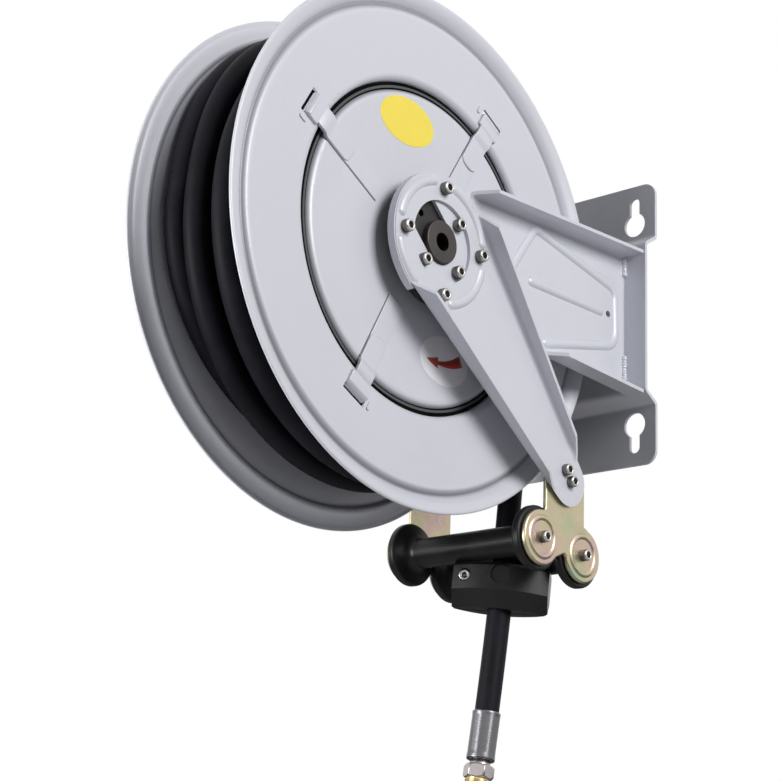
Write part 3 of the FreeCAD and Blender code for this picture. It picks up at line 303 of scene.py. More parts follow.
def swept(points, radius, columns, outward):
    """A tube along points: each ring is centre + radius * (cos t * out + sin t * side), where out
    is the given direction made square to the path and side is square to both."""
    way = np.gradient(points, axis=0)
    way /= np.linalg.norm(way, axis=1, keepdims=True)
    out = outward - way * np.sum(outward * way, axis=1, keepdims=True)
    out /= np.linalg.norm(out, axis=1, keepdims=True)
    side = np.cross(way, out)
    angle = full_turn(columns)
    ring = (np.cos(angle)[:, None] * out[:, None] + np.sin(angle)[:, None] * side[:, None])
    return points[:, None] + np.reshape(radius, (-1, 1, 1)) * ring


def belongs(piece, body, node=None):
    """Lets a piece ride on a body, in place of a solid if one is named."""
    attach(piece, body)
    if node is not None:
        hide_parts(node)


# ---------------------------------------------------------------------------------------------
# Materials


def feed(tree, sockets, values):
    """Gives each named or numbered socket its value, or the socket that feeds it."""
    for key, value in values.items():
        if isinstance(value, bpy.types.NodeSocket):
            tree.links.new(value, sockets[key])
        else:
            sockets[key].default_value = value


def add_node(tree, kind, inputs=None, **settings):
    """Adds a node with its settings and what feeds its sockets."""
    node = tree.nodes.new(kind)
    for key, value in settings.items():
        setattr(node, key, value)
    feed(tree, node.inputs, inputs or {})
    return node


def new_group(name, inputs, outputs):
    """A shader node group, with what its input node gives and its output node takes."""
    group = bpy.data.node_groups.new(name, "ShaderNodeTree")
    for label, kind, value in inputs:
        socket = group.interface.new_socket(label, in_out="INPUT", socket_type="NodeSocket" + kind)
        if value is not None:
            socket.default_value = value
    for label, kind in outputs:
        group.interface.new_socket(label, in_out="OUTPUT", socket_type="NodeSocket" + kind)
    given, out = add_node(group, "NodeGroupInput"), add_node(group, "NodeGroupOutput")
    return group, given.outputs, out.inputs


def math_node(tree, operation, one, two):
    """One value worked out of two."""
    return add_node(tree, "ShaderNodeMath", {0: one, 1: two}, operation=operation).outputs[0]


def mixed(tree, amount, one, two):
    """A mix of two colours, which the Mix node takes at its sockets 6 and 7."""
    return add_node(tree, "ShaderNodeMix", {0: amount, 6: one, 7: two},
                    data_type="RGBA").outputs[2]


def ranged(tree, value, low, high, to_low, to_high):
    """A value carried from the range low to high into another one, held at its ends."""
    return add_node(tree, "ShaderNodeMapRange", {0: value, 1: low, 2: high, 3: to_low,
                                                 4: to_high}).outputs[0]


def noise(tree, vector, scale, detail=2.0, roughness=0.5, distortion=0.0):
    """Soft noise of 0 to 1 with scale cells to a metre."""
    return add_node(tree, "ShaderNodeTexNoise", {"Vector": vector, "Scale": scale, "Detail": detail,
                                                 "Roughness": roughness,
                                                 "Distortion": distortion}).outputs[0]


def bumped(tree, height, depth):
    """A normal from a height of 0 to 1 that stands for depth."""
    return add_node(tree, "ShaderNodeBump", {"Strength": 1.0, "Distance": depth,
                                             "Height": height}).outputs[0]


def ramped(tree, value, stops):
    """A colour ramp through stops of (place, colour)."""
    ramp = add_node(tree, "ShaderNodeValToRGB", {"Fac": value})
    while len(ramp.color_ramp.elements) < len(stops):
        ramp.color_ramp.elements.new(0.5)
    for element, (place, colour) in zip(ramp.color_ramp.elements, stops):
        element.position = place
        element.color = (*colour, 1.0)
    return ramp.outputs[0]


def relief_group(name, cells, depth, height):
    """A group that gives a bump and its height as a mask: height(tree, vector, cells) draws it."""
    group, given, out = new_group(name, [("Vector", "Vector", None), ("Cells", "Float", cells),
                                         ("Depth", "Float", depth)],
                                  [("Normal", "Vector"), ("Mask", "Float")])
    drawn = height(group, given["Vector"], given["Cells"])
    feed(group, out, {"Normal": bumped(group, drawn, given["Depth"]), "Mask": drawn})
    return group


def lathe_rings(tree, vector, cells):
    """The rings that a lathe tool leaves round an axis along X."""
    return add_node(tree, "ShaderNodeTexWave", {"Vector": vector, "Scale": cells, "Distortion": 1.5,
                                                "Detail": 2.0},
                    wave_type="RINGS", rings_direction="X").outputs["Fac"]


def group_handling():
    """Marks of handling and dust: wide soft patches broken up by small ones, as a mask."""
    group, given, out = new_group(
        "Handling Marks", [("Vector", "Vector", None), ("Size", "Float", 9.0)], [("Mask", "Float")])
    wide = noise(group, given["Vector"], given["Size"], 3.0, 0.55)
    fine = noise(group, given["Vector"], 160.0, 4.0, 0.6)
    feed(group, out, {"Mask": math_node(group, "MULTIPLY", ranged(group, wide, 0.35, 0.7, 0.0, 1.0),
                                        ranged(group, fine, 0.3, 0.7, 0.5, 1.0))})
    return group


def group_rainbow_zinc():
    """Passivated zinc: straw gold that drifts to pink, violet and green with the film's
    thickness, which two noises stand for."""
    group, given, out = new_group(
        "Rainbow Zinc", [("Vector", "Vector", None), ("Drift", "Float", 26.0)],
        [("Color", "Color"), ("Roughness", "Float")])
    film = noise(group, given["Vector"], given["Drift"], 1.5, 0.5, 0.8)
    colour = ramped(group, film, [(0.26, (0.36, 0.44, 0.32)), (0.40, (0.47, 0.46, 0.29)),
                                  (0.54, (0.54, 0.48, 0.32)), (0.66, (0.57, 0.43, 0.35)),
                                  (0.80, (0.52, 0.38, 0.43))])
    grain = noise(group, given["Vector"], 300.0, 3.0)
    feed(group, out, {"Color": colour, "Roughness": ranged(group, grain, 0.3, 0.7, 0.26, 0.40)})
    return group


def make_groups():
    """The shared effects: the cells of a powder coat, the even grain of moulded plastic, rubber and
    cast faces, the rings of turned ones, marks of handling and the film on zinc."""
    return {"peel": relief_group("Orange Peel", 450.0, 0.00004,
                                 lambda *given: noise(*given, 2.0, 0.4)),
            "grain": relief_group("Fine Grain", 1400.0, 0.00003,
                                  lambda *given: noise(*given, 3.0, 0.7)),
            "turning": relief_group("Turning Marks", 900.0, 0.00003, lathe_rings),
            "marks": group_handling(), "zinc": group_rainbow_zinc()}


def blank_material(name):
    """A material with its tree, its Principled shader and its Object coordinates."""
    material = bpy.data.materials.new(name)
    material.use_nodes = True
    tree = material.node_tree
    shader = next(node for node in tree.nodes if node.type == "BSDF_PRINCIPLED")
    place = add_node(tree, "ShaderNodeTexCoord")
    return material, tree, shader, place.outputs["Object"]


def finish(tree, shader, **values):
    """Feeds the shader's sockets, whose names are written with _ for a blank."""
    feed(tree, shader.inputs, {key.replace("_", " "): value for key, value in values.items()})


def rgba(colour, factor=1.0):
    """An opaque colour, darkened or lightened by a factor."""
    return (*(channel * factor for channel in colour), 1.0)


def place_group(tree, group, vector, **values):
    """One use of a shared effect, with its own values."""
    return add_node(tree, "ShaderNodeGroup", {"Vector": vector, **values}, node_tree=group).outputs


def worn_material(groups, name, clean, dirty, size=9.0, amount=1.0, roughness=None, skin=None,
                  **sockets):
    """A material that handling marks of a size take by amount from a clean colour to a dirty one
    and from one roughness to the other. skin is a shared relief and its values."""
    _, tree, shader, place = blank_material(name)
    marks = place_group(tree, groups["marks"], place, Size=size)["Mask"]
    sockets["Base_Color"] = mixed(tree, ranged(tree, marks, 0, 1, 0, amount), clean, dirty)
    if roughness is not None:
        sockets["Roughness"] = ranged(tree, marks, 0, 1, *roughness)
    if skin is not None:
        sockets["Normal"] = place_group(tree, groups[skin[0]], place, **skin[1])["Normal"]
    finish(tree, shader, **sockets)


def material_paint(groups, colour):
    """Powder coat: an even colour that dust dulls a little, an orange-peel skin, a soft gloss."""
    worn_material(groups, "Powder Coat", rgba(colour), rgba(colour, 0.86), amount=0.35,
                  roughness=(0.30, 0.42), skin=("peel", {}), Metallic=0.05, Specular_IOR_Level=0.45,
                  Coat_Weight=0.06, Coat_Roughness=0.2)


def material_cover(groups, colour):
    """The powder coat of the spring case and cover, with painted shade where they dip into the gap
    round the cover: the mask rises with the distance from the drum's axis."""
    _, tree, shader, place = blank_material("Cover Coat")
    about = add_node(tree, "ShaderNodeMapping", {"Vector": place, "Location": (0.0, -AXIS_Y, 0.0),
                                                 "Scale": (0.0, 1.0, 1.0)})
    reach = add_node(tree, "ShaderNodeVectorMath", {0: about.outputs[0]}, operation="LENGTH")
    # painted shade: darker and duller towards the cover's rim, down in the gap
    painted_shade = ranged(tree, reach.outputs["Value"], 0.1262, 0.1306, 0.0, 1.0)
    marks = place_group(tree, groups["marks"], place)["Mask"]
    coat = mixed(tree, ranged(tree, marks, 0, 1, 0, 0.35), rgba(colour), rgba(colour, 0.86))
    finish(tree, shader, Base_Color=mixed(tree, painted_shade, coat, rgba(colour, 0.12)),
           Roughness=ranged(tree, painted_shade, 0, 1, 0.34, 0.7), Metallic=0.05, Specular_IOR_Level=0.40,
           Normal=place_group(tree, groups["peel"], place)["Normal"], Coat_Weight=0.04,
           Coat_Roughness=0.3)


def material_edge(groups, colour):
    """The powder coat of the discs' pressed edge, with painted shade in its valley and behind its
    ridge, placed along the profile by the UV map."""
    _, tree, shader, place = blank_material("Disc Edge")
    uv = add_node(tree, "ShaderNodeTexCoord").outputs["UV"]
    profile = add_node(tree, "ShaderNodeSeparateXYZ", {0: uv}).outputs[1]
    # painted shade: how dark the coat is made along the profile, deepest in the valley and behind
    # the ridge
    depths = [(0.10, 0.0), (0.15, 0.8), (0.20, 0.0), (0.71, 0.0), (0.765, 0.9), (0.81, 1.0),
              (0.91, 0.0)]
    crease_shade = ramped(tree, profile, [(share, (depth,) * 3) for share, depth in depths])
    finish(tree, shader, Base_Color=mixed(tree, crease_shade, rgba(colour), rgba(colour, 0.42)),
           Normal=place_group(tree, groups["peel"], place)["Normal"], Metallic=0.05, Roughness=0.36,
           Specular_IOR_Level=0.45, Coat_Weight=0.06)


def material_metal(groups, name, colour, roughness, metallic=1.0, centre=None, cells=900.0):
    """Bare or plated metal: turning rings about an axis along X through centre, or a fine grain
    where no centre is given, with stains that darken it a little."""
    _, tree, shader, place = blank_material(name)
    marks = place_group(tree, groups["marks"], place, Size=40.0)["Mask"]
    if centre is None:
        skin = place_group(tree, groups["grain"], place)
    else:
        about = add_node(tree, "ShaderNodeMapping",
                         {"Vector": place, "Location": [-value for value in centre]})
        skin = place_group(tree, groups["turning"], about.outputs[0], Cells=cells)
    stained = mixed(tree, ranged(tree, marks, 0, 1, 0, 0.5), rgba(colour), rgba(colour, 0.7))
    finish(tree, shader, Base_Color=stained, Normal=skin["Normal"], Metallic=metallic,
           Roughness=ranged(tree, skin["Mask"], 0.2, 0.8, *roughness))


def material_zinc(groups):
    """Yellow-passivated zinc with its drifting rainbow."""
    _, tree, shader, place = blank_material("Yellow Zinc")
    film = place_group(tree, groups["zinc"], place)
    marks = place_group(tree, groups["marks"], place, Size=60.0)["Mask"]
    stained = mixed(tree, ranged(tree, marks, 0, 1, 0, 0.4), film["Color"], (0.42, 0.33, 0.24, 1))
    finish(tree, shader, Base_Color=stained, Roughness=film["Roughness"], Metallic=0.9,
           Normal=place_group(tree, groups["grain"], place, Depth=0.00002)["Normal"])


def material_plastic(groups, name, colour, roughness=(0.30, 0.48), shine=0.22):
    """Moulded plastic: near black, a fine grain and a little dust that lightens and dulls it."""
    dusty = (colour[0] * 1.5 + 0.005, colour[1] * 1.5 + 0.005, colour[2] * 1.5 + 0.006, 1)
    worn_material(groups, name, rgba(colour), dusty, size=30.0, amount=0.6, roughness=roughness,
                  skin=("grain", {"Depth": 0.00005}), Specular_IOR_Level=shine)


def material_rubber(groups, colour):
    """The hose cover: smooth extruded rubber with a bluish bloom and scuffs along it."""
    bloom = (colour[0] * 1.8 + 0.003, colour[1] * 1.8 + 0.003, colour[2] * 2.0 + 0.006, 1)
    worn_material(groups, "Hose Cover", rgba(colour), bloom, size=22.0, roughness=(0.50, 0.66),
                  skin=("grain", {"Cells": 700.0, "Depth": 0.00007}), Specular_IOR_Level=0.10)


def material_label(groups, name, colour, roughness=0.32):
    """Printed film: an even colour, faintly mottled, under a clear gloss."""
    worn_material(groups, name, rgba(colour), rgba(colour, 0.9), size=50.0, amount=0.5,
                  Roughness=roughness, Coat_Weight=0.3, Coat_Roughness=0.15)


def material_weld(groups, colour):
    """Weld bead under the powder coat: the paint with a lumpier, glossier skin."""
    worn_material(groups, "Painted Weld", rgba(colour, 1.12), rgba(colour, 0.9), size=80.0,
                  roughness=(0.16, 0.34), skin=("peel", {"Cells": 260.0, "Depth": 0.0004}),
                  Metallic=0.12, Coat_Weight=0.4)


# ---------------------------------------------------------------------------------------------
# Operators


class REEL_OT_stage(bpy.types.Operator):
    """Adds the pale floor, the soft lamps, the white surroundings and the camera"""
    bl_idname = "reel.stage"
    bl_label = "Stage"

    def execute(self, context):
        sizes = context.scene.reel_stage
        scene = context.scene
        scene.view_settings.view_transform = "Standard"
        reach = np.array([-1, 1]) * FLOOR_REACH
        floor_grid = np.zeros((2, 2, 3))
        floor_grid[..., 0], floor_grid[..., 1] = np.meshgrid(reach, reach)
        floor_grid[..., 2] = sizes.floor_drop
        floor = make_piece("floor", [floor_grid], self.floor_material(), closed=False)
        lamps = [("key_lamp", (2.6, -0.25, 1.05), 1.3, sizes.key_power),
                 ("fill_lamp", (-0.8, -2.4, -0.2), 1.2, sizes.fill_power)]
        for name, place, size, power in lamps:
            lamp = bpy.data.lights.new(name, "AREA")
            lamp.size = size
            lamp.energy = power
            holder = bpy.data.objects.new(name, lamp)
            holder.location = place
            aim = Vector(LAMP_AIM) - Vector(place)
            holder.rotation_euler = aim.to_track_quat("-Z", "Y").to_euler()
            scene.collection.objects.link(holder)
        self.surround(scene, sizes.ambient)
        self.shoot(scene)
        return {"FINISHED"}

    def floor_material(self):
        """Pale and faintly cloudy, and a little brighter where the camera looks at it."""
        pale, tree, shader, place = blank_material("Pale Floor")
        seen = add_node(tree, "ShaderNodeLightPath").outputs["Is Camera Ray"]
        cloudy = mixed(tree, noise(tree, place, 3.0), rgba((0.80,) * 3), rgba((0.84,) * 3))
        finish(tree, shader, Base_Color=cloudy, Roughness=0.8, Emission_Color=rgba((1.0,) * 3),
               Emission_Strength=math_node(tree, "MULTIPLY", seen, 0.5))
        return pale

    def surround(self, scene, ambient):
        """White where the camera, metal or glass looks at it, an even soft light elsewhere."""
        world = bpy.data.worlds.new("White Studio")
        world.use_nodes = True
        tree = world.node_tree
        tree.nodes.clear()
        rays = add_node(tree, "ShaderNodeLightPath").outputs
        shiny = math_node(tree, "MAXIMUM", rays["Is Glossy Ray"], rays["Is Transmission Ray"])
        seen = math_node(tree, "MAXIMUM", rays["Is Camera Ray"], shiny)
        soft, white = (add_node(tree, "ShaderNodeBackground",
                                {"Color": rgba(colour), "Strength": strength}).outputs[0]
                       for colour, strength in (((0.97, 0.98, 1.0), ambient), ((1.0,) * 3, 1.0)))
        either = add_node(tree, "ShaderNodeMixShader", {0: seen, 1: soft, 2: white})
        add_node(tree, "ShaderNodeOutputWorld", {"Surface": either.outputs[0]})
        scene.world = world

    def shoot(self, scene):
        """The camera where it stood for the photograph: 42.66 degrees round, 15.61 degrees below
        the level of the reel, rolled by 1.94 degrees."""
        camera = bpy.data.cameras.new("camera")
        camera.lens = LENS
        camera.sensor_width = 36.0
        camera.clip_start = 0.05
        turn = Matrix(CAMERA_TURN).transposed().to_4x4()
        holder = bpy.data.objects.new("camera", camera)
        holder.matrix_world = Matrix.Translation(CAMERA_PLACE) @ turn
        scene.collection.objects.link(holder)
        scene.camera = holder


METALS = {                      # colour and range of roughness
    "Screw Zinc": ((0.58, 0.57, 0.55), (0.20, 0.34)),
    # darker metal for the knurls, partly painted shade there and fully in the sockets
    "Screw Knurl": ((0.20, 0.19, 0.18), (0.30, 0.45)),
    "Bright Plate": ((0.16, 0.16, 0.17), (0.22, 0.36)),
    "Nickel": ((0.46, 0.42, 0.42), (0.24, 0.38)),
    "Brass": ((0.72, 0.54, 0.26), (0.18, 0.34)),
    "Bronze": ((0.48, 0.33, 0.18), (0.35, 0.5)),
    "Blued Strip": ((0.11, 0.13, 0.17), (0.22, 0.36)),
}


def finishes():
    """The materials by name. The first call makes them all, with their shared node groups."""
    if "Powder Coat" in bpy.data.materials:
        return bpy.data.materials
    colours = bpy.context.scene.reel_colours
    groups = make_groups()
    axis = (0.0, AXIS_Y, 0.0)
    for make in (material_paint, material_cover, material_edge, material_weld):
        make(groups, colours.paint)
    material_zinc(groups)
    material_rubber(groups, colours.rubber)
    material_plastic(groups, "Black Nylon", colours.plastic)
    # Black matte rubber for the seals, also used for the black ring of painted shade in the gap
    material_plastic(groups, "Nitrile", (0.005, 0.005, 0.005), (0.8, 0.9), shine=0.0)
    # A dark matte sheet of painted shade under the edges of the straps.
    material_plastic(groups, "Settled Dirt", (0.11, 0.11, 0.12), (0.8, 0.9), shine=0.0)
    material_metal(groups, "Black Oxide", (0.035, 0.034, 0.036), (0.30, 0.45), 0.7, axis, 700.0)
    material_metal(groups, "Turned Shaft", (0.065, 0.058, 0.055), (0.34, 0.5), 0.8, axis, 500.0)
    for name, (colour, roughness) in METALS.items():
        material_metal(groups, name, colour, roughness)
    material_label(groups, "Yellow Label", colours.label)
    material_label(groups, "Red Print", colours.arrow)
    material_label(groups, "Pale Film", (0.90, 0.90, 0.93), 0.25)
    return bpy.data.materials


SLOT_FINISH = {
    "painted_steel": "Powder Coat", "black_steel": "Black Oxide", "shaft_steel": "Turned Shaft",
    "screw_steel": "Screw Zinc", "zinc_yellow": "Yellow Zinc", "black_plastic": "Black Nylon",
    "hose_rubber": "Hose Cover", "seal_rubber": "Nitrile", "bearing_bronze": "Bronze",
    "brass": "Brass", "spring_steel": "Blued Strip", "plated_steel": "Bright Plate",
}


class REEL_OT_finishes(bpy.types.Operator):
    """Gives every solid of the reel the finish of its material slot"""
    bl_idname = "reel.finishes"
    bl_label = "Finishes"

    def execute(self, context):
        made = finishes()
        for name, node in NODES.items():
            slots = [material.name.split(".")[0] for material in node.data.materials if material]
            if len(slots) != 1 or slots[0] not in SLOT_FINISH:
                raise RuntimeError(f"{name} has no known material slot: {slots}")
            node.data.materials[0] = made[SLOT_FINISH[slots[0]]]
        # the spring case and cover take the coat with painted shade in the gap round the cover
        for name in ("spring_cover", "spring_case"):
            NODES[name].data.materials[0] = made["Cover Coat"]
        return {"FINISHED"}


def softened(corners, rounds=2):
    """A line through corners with each corner cut at a quarter of both its sides, rounds times."""
    line = np.asarray(corners, float)
    for _ in range(rounds):
        before, after = line[:-1], line[1:]
        cuts = np.stack([before * 0.75 + after * 0.25, before * 0.25 + after * 0.75], axis=1)
        line = np.concatenate([line[:1], cuts.reshape(-1, 2), line[-1:]])
    return line


class REEL_OT_discs(bpy.types.Operator):
    """Gives both discs their pressed edge, keeps the flats of the solids within it and fills the
    gap round the spring cover with a black ring of painted shade"""
    bl_idname = "reel.discs"
    bl_label = "Disc Edges"

    def execute(self, context):
        made = finishes()
        radius, height = (softened(EDGE) / 1000).T
        profile = np.stack([height, radius], axis=1)
        for name, (face, side) in DISCS.items():
            edge = turned(profile, (face, AXIS_Y, 0.0), (side, 0, 0), RIM_COLUMNS)
            rim = make_piece(f"{name}_edge", [edge], made["Disc Edge"], looped=True)
            belongs(rim, "drum", name)
            belongs(self.flats(name, face - side * DISC_SHEET), "drum")
        # a black matte ring of painted shade down in the gap round the cover
        shade_ring = turned(GAP_SHADE_RING, (0.0, AXIS_Y, 0.0), (1, 0, 0), RIM_COLUMNS)
        piece = make_piece("gap_seal", [shade_ring], made["Nitrile"], looped=True)
        belongs(piece, "drum")
        return {"FINISHED"}

    def flats(self, name, back):
        """The triangles of a disc's solid within its edge, joined where they meet, with the shading
        that they had. back is the place of the sheet's back."""
        solid = NODES[name].data
        points = np.empty(3 * len(solid.vertices), np.float32)
        corners = np.empty(3 * len(solid.polygons), np.int32)
        normals = np.empty(9 * len(solid.polygons), np.float32)
        solid.vertices.foreach_get("co", points)
        solid.loops.foreach_get("vertex_index", corners)
        solid.corner_normals.foreach_get("vector", normals)
        points, corners = points.reshape(-1, 3), corners.reshape(-1, 3)
        radius = np.hypot(points[:, 1] - AXIS_Y, points[:, 2])
        on_back = np.abs(points[:, 0] - back) < SAME_PLANE
        kept = ((radius < FLAT_END) | ((radius < BACK_END) & on_back))[corners].all(axis=1)
        places, numbers = np.unique(points[corners[kept]].reshape(-1, 3).round(7), axis=0,
                                    return_inverse=True)
        mesh = bpy.data.meshes.new(f"{name}_flat")
        mesh.from_pydata(places.tolist(), [], numbers.reshape(-1, 3).tolist())
        mesh.shade_smooth()
        mesh.normals_split_custom_set(normals.reshape(-1, 3, 3)[kept].reshape(-1, 3).tolist())
        mesh.materials.append(finishes()["Powder Coat"])
        piece = bpy.data.objects.new(f"{name}_flat", mesh)
        bpy.context.scene.collection.objects.link(piece)
        return piece


def strap_skin(rows, turn):
    """A strip laid along a radius: at each row the section runs from its foot over a narrow slope
    to its top and down again, and is turned about the drum's axis by turn degrees."""
    radius, half, foot, top = (np.asarray(rows) / 1000).T
    slope = np.array([1.0, 0.965, 0.94, 0.91, -0.91, -0.94, -0.965, -1.0])
    rise = np.array([0.0, 0.86, 0.98, 1.0, 1.0, 0.98, 0.86, 0.0])
    across = half[:, None] * slope
    angle = np.radians(turn)
    return np.stack([foot[:, None] + (top - foot)[:, None] * rise,
                     AXIS_Y + radius[:, None] * np.cos(angle) - across * np.sin(angle),
                     radius[:, None] * np.sin(angle) + across * np.cos(angle)], axis=-1)


class REEL_OT_straps(bpy.types.Operator):
    """Lays the four straps over the spring cover and hooks them into the near disc"""
    bl_idname = "reel.straps"
    bl_label = "Cover Straps"

    def execute(self, context):
        for number, turn in enumerate(STRAP_TURNS, 1):
            skins = [strap_skin(rows, turn) for rows in (STRIP, TONGUE, PAD)]
            strap = make_piece(f"strap_{number}", skins, finishes()["Powder Coat"], ends=True)
            belongs(strap, "drum", f"cover_strap_{number}")
            # under each strap a dark sheet a little wider than it: painted shade along its edges
            painted_shade = make_piece(f"strap_{number}_dirt", [strap_skin(STRAP_SHADE, turn)],
                              finishes()["Settled Dirt"], ends=True)
            belongs(painted_shade, "drum")
        return {"FINISHED"}


def eased(quarters, shifts):
    """A value that changes by half cosine waves: before + (after - before) * (1 - cos(pi p)) / 2,
    with p the share of each shift that is behind."""
    value = np.full_like(quarters, shifts[0][2])
    for start, end, before, after in shifts:
        part = np.clip((start - quarters) / (start - end), 0, 1)
        wave = before + (after - before) * (1 - np.cos(np.pi * part)) / 2
        value = np.where(part > 0, wave, value)
    return value


def wound_line(sizes, count):
    """Centre line of the winding and its outward directions.

    At q quarter turns before the exit the angle is leave + q * 90 degrees. The place along the
    drum steps through LAY_X in the inner layer, in two quarters of every four. In the outer one
    it is CROSS_X - (q - 4) * pitch / 4 and then, with p = (4 - q) / 2, the cubic CROSS_X +
    (exit - CROSS_X) * p^2 (3 - 2 p) + pitch / 2 * p (1 - p)^2. The radius climbs from layer to
    layer between q = 11 and q = 10 and stands off by LOOSE over the top, from q = 9.5 to 9 and
    5.5 to 5. A straight tail leads in."""
    quarters = np.linspace(QUARTERS, 0, count)
    leave = np.arctan2(ROUTE[0][2], ROUTE[0][1] - AXIS_Y)
    shifts = [(start, start - 2, before, after) for start, before, after
              in zip(range(QUARTERS - 1, HELIX, -4), LAY_X, LAY_X[1:])]
    span = CROSS_FROM - CROSS_TO
    part = np.clip((CROSS_FROM - quarters) / span, 0, 1)
    outer = (CROSS_X - np.maximum(quarters - CROSS_FROM, 0) * sizes.pitch / 4
             + (ROUTE[0][0] - CROSS_X) * part ** 2 * (3 - 2 * part)
             + span * sizes.pitch / 4 * part * (1 - part) ** 2)
    along = np.where(quarters > HELIX, eased(quarters, shifts), outer)
    low, high = sizes.outer_layer, sizes.outer_layer + LOOSE
    radius = eased(quarters, [(11, 10, sizes.inner_layer, low), (10, 9.5, low, high),
                              (9, 8, high, low), (6, 5.5, low, high), (5, 4, high, low)])
    angle = leave + quarters * np.pi / 2
    out = np.stack([np.zeros_like(angle), np.cos(angle), np.sin(angle)], axis=1)
    centre = np.stack([along, np.full_like(along, AXIS_Y), np.zeros_like(along)], axis=1)
    line = centre + out * radius[:, None]
    first = (line[1] - line[0]) / np.linalg.norm(line[1] - line[0])
    steps = np.linspace(sizes.diameter + 0.001, 0, TAIL_ROWS, endpoint=False)[:, None]
    return (np.concatenate([line[0] - first * steps, line]),
            np.concatenate([out[:1].repeat(TAIL_ROWS, 0), out]))


class REEL_OT_wound_hose(bpy.types.Operator):
    """Winds the hose on the drum as one tube in two layers"""
    bl_idname = "reel.wound_hose"
    bl_label = "Wound Hose"

    def execute(self, context):
        sizes = context.scene.reel_hose
        line, out = wound_line(sizes, HOSE_ROWS)
        tube = swept(line, sizes.diameter / 2, sizes.sides, out)
        piece = make_piece("wound_hose", [tube], finishes()["Hose Cover"], ends=True,
                           scale=(1.0, WOUND_LENGTH))
        belongs(piece, "frame", "hose_turns")
        return {"FINISHED"}


class REEL_OT_free_hose(bpy.types.Operator):
    bl_idname = "reel.free_hose"
    bl_label = "Free Hose"

    def execute(self, context):
        sizes = context.scene.reel_hose
        curve = bpy.data.curves.new("free_hose", "CURVE")
        curve.dimensions = "3D"
        curve.bevel_depth = sizes.diameter / 2
        curve.bevel_resolution = 8
        curve.resolution_u = 24
        curve.use_fill_caps = True
        spline = curve.splines.new("NURBS")
        spline.points.add(len(ROUTE) - 1)
        spline.points.foreach_set("co", [value for point in ROUTE for value in (*point, 1.0)])
        spline.order_u = 3
        spline.use_endpoint_u = True
        curve.materials.append(finishes()["Hose Cover"])
        piece = bpy.data.objects.new("free_hose", curve)
        context.scene.collection.objects.link(piece)
        belongs(piece, "frame", "hose_free")
        carried = [bpy.data.objects[name] for name in ("crimped_ferrule", "hose_nut", "hose_nipple",
                                                       "stop_screws")]
        carried += [NODES[name] for name in ("hose_stop_front", "hose_stop_back")]
        return {"FINISHED"}


def socket_screw(origin, way, head, tall, across, knurl, ridges):
    """A socket-head cap screw as one skin from its seat over its knurled side and chamfered rim
    into its hexagon socket. The side's radius is head - knurl * |cos(ridges * t / 2)|, and the
    socket's is across / 2 / cos(t mod 60 - 30 degrees)."""
    columns = ridges * 4
    angle = full_turn(columns)
    ridge = knurl * np.abs(np.cos(ridges * angle / 2))
    flat = across / 2 / np.cos((angle % (np.pi / 3)) - np.pi / 6)
    rim = flat.max() + 0.0002
    steps = [(0.0, head - 0.0003), (0.0002, head - ridge), (tall * 0.80, head - ridge),
             (tall * 0.84, head - knurl), (tall * 0.93, head - knurl - 0.0001),
             (tall * 0.985, head - 0.0007), (tall, head - 0.0011), (tall, rim),
             (tall - 0.0002, flat + 0.00005), (tall - 0.0004, flat), (tall * 0.45, flat),
             (tall * 0.44, flat * 0.97), (tall * 0.36, 0.0002)]
    reach = np.stack([np.broadcast_to(radius, columns) for _, radius in steps])
    return rings(origin, way, [along for along, _ in steps], reach, angle)


def shade_screws(piece, ridges):
    """Gives the knurled sides and the sockets of a set of screws a darker metal, which is painted
    shade in the sockets and partly painted shade on the knurls: bands 0, 1 and 9 to 11 of the
    twelve between the rings of each screw."""
    piece.data.materials.append(finishes()["Screw Knurl"])
    count = len(piece.data.polygons)
    band = np.arange(count) // (ridges * 4) % 12
    dark = np.isin(band, (0, 1, 9, 10, 11)) & (piece_sides(piece) == 4)
    piece.data.polygons.foreach_set("material_index", dark.astype(np.int32))


def piece_sides(piece):
    """How many corners each face has."""
    sides = np.empty(len(piece.data.polygons), np.int32)
    piece.data.polygons.foreach_get("loop_total", sides)
    return sides


def ring_spots(radius, degrees):
    """Places (y, z) round the drum axis."""
    turn = np.radians(degrees)
    return np.stack([AXIS_Y + radius * np.cos(turn), radius * np.sin(turn)], axis=1)


class REEL_OT_screws(bpy.types.Operator):
    """Adds the socket screws of the hub and of the roller guides on both sides"""
    bl_idname = "reel.screws"
    bl_label = "Socket Screws"

    def execute(self, context):
        sizes = context.scene.reel_screws
        made = finishes()
        hub, guide = (sizes.cap_head, HUB_HEAD_HEIGHT), (sizes.guide_head, GUIDE_HEAD_HEIGHT)
        sets = [("cap_screws", ring_spots(CAP_RING, [0, 90, 180, 270]), CAP_SEAT, hub),
                ("clamp_screws", ring_spots(CLAMP_RING, [-135, -45, 45]), CLAMP_SEAT, hub),
                ("bracket_screws", TIP_SCREWS, CAP_SEAT, guide),
                ("axle_screws", ROLLER_AXES, CLAMP_SEAT, guide)]
        for name, spots, seat, (head, tall) in sets:
            for side, word in ((1, "near"), (-1, "far")):
                heads = [socket_screw((side * seat, y, z), (side, 0, 0), head, tall, SOCKET,
                                      sizes.knurl, sizes.ridges) for y, z in spots]
                piece = make_piece(f"{name}_{word}_heads", heads, made["Screw Zinc"], ends=True)
                shade_screws(piece, sizes.ridges)
                belongs(piece, "frame", f"{name}_{word}")
        return {"FINISHED"}


def puck(centre, half_y, half_z, thick):
    """A thin oval plate on the spring cover: rings at centre + share * (a cos t, b sin t), with the
    rim rounded over its thickness."""
    angle = full_turn(LABEL_COLUMNS)
    rise, share = np.array([(0.0, 1.0), (0.6, 1.0), (0.9, 0.996), (1.0, 0.985), (1.0, 0.6),
                            (1.0, 0.02)]).T[..., None]
    return np.stack(np.broadcast_arrays(COVER_FACE + rise * thick,
                                        centre[0] + share * half_y * np.cos(angle),
                                        centre[1] + share * half_z * np.sin(angle)), axis=-1)


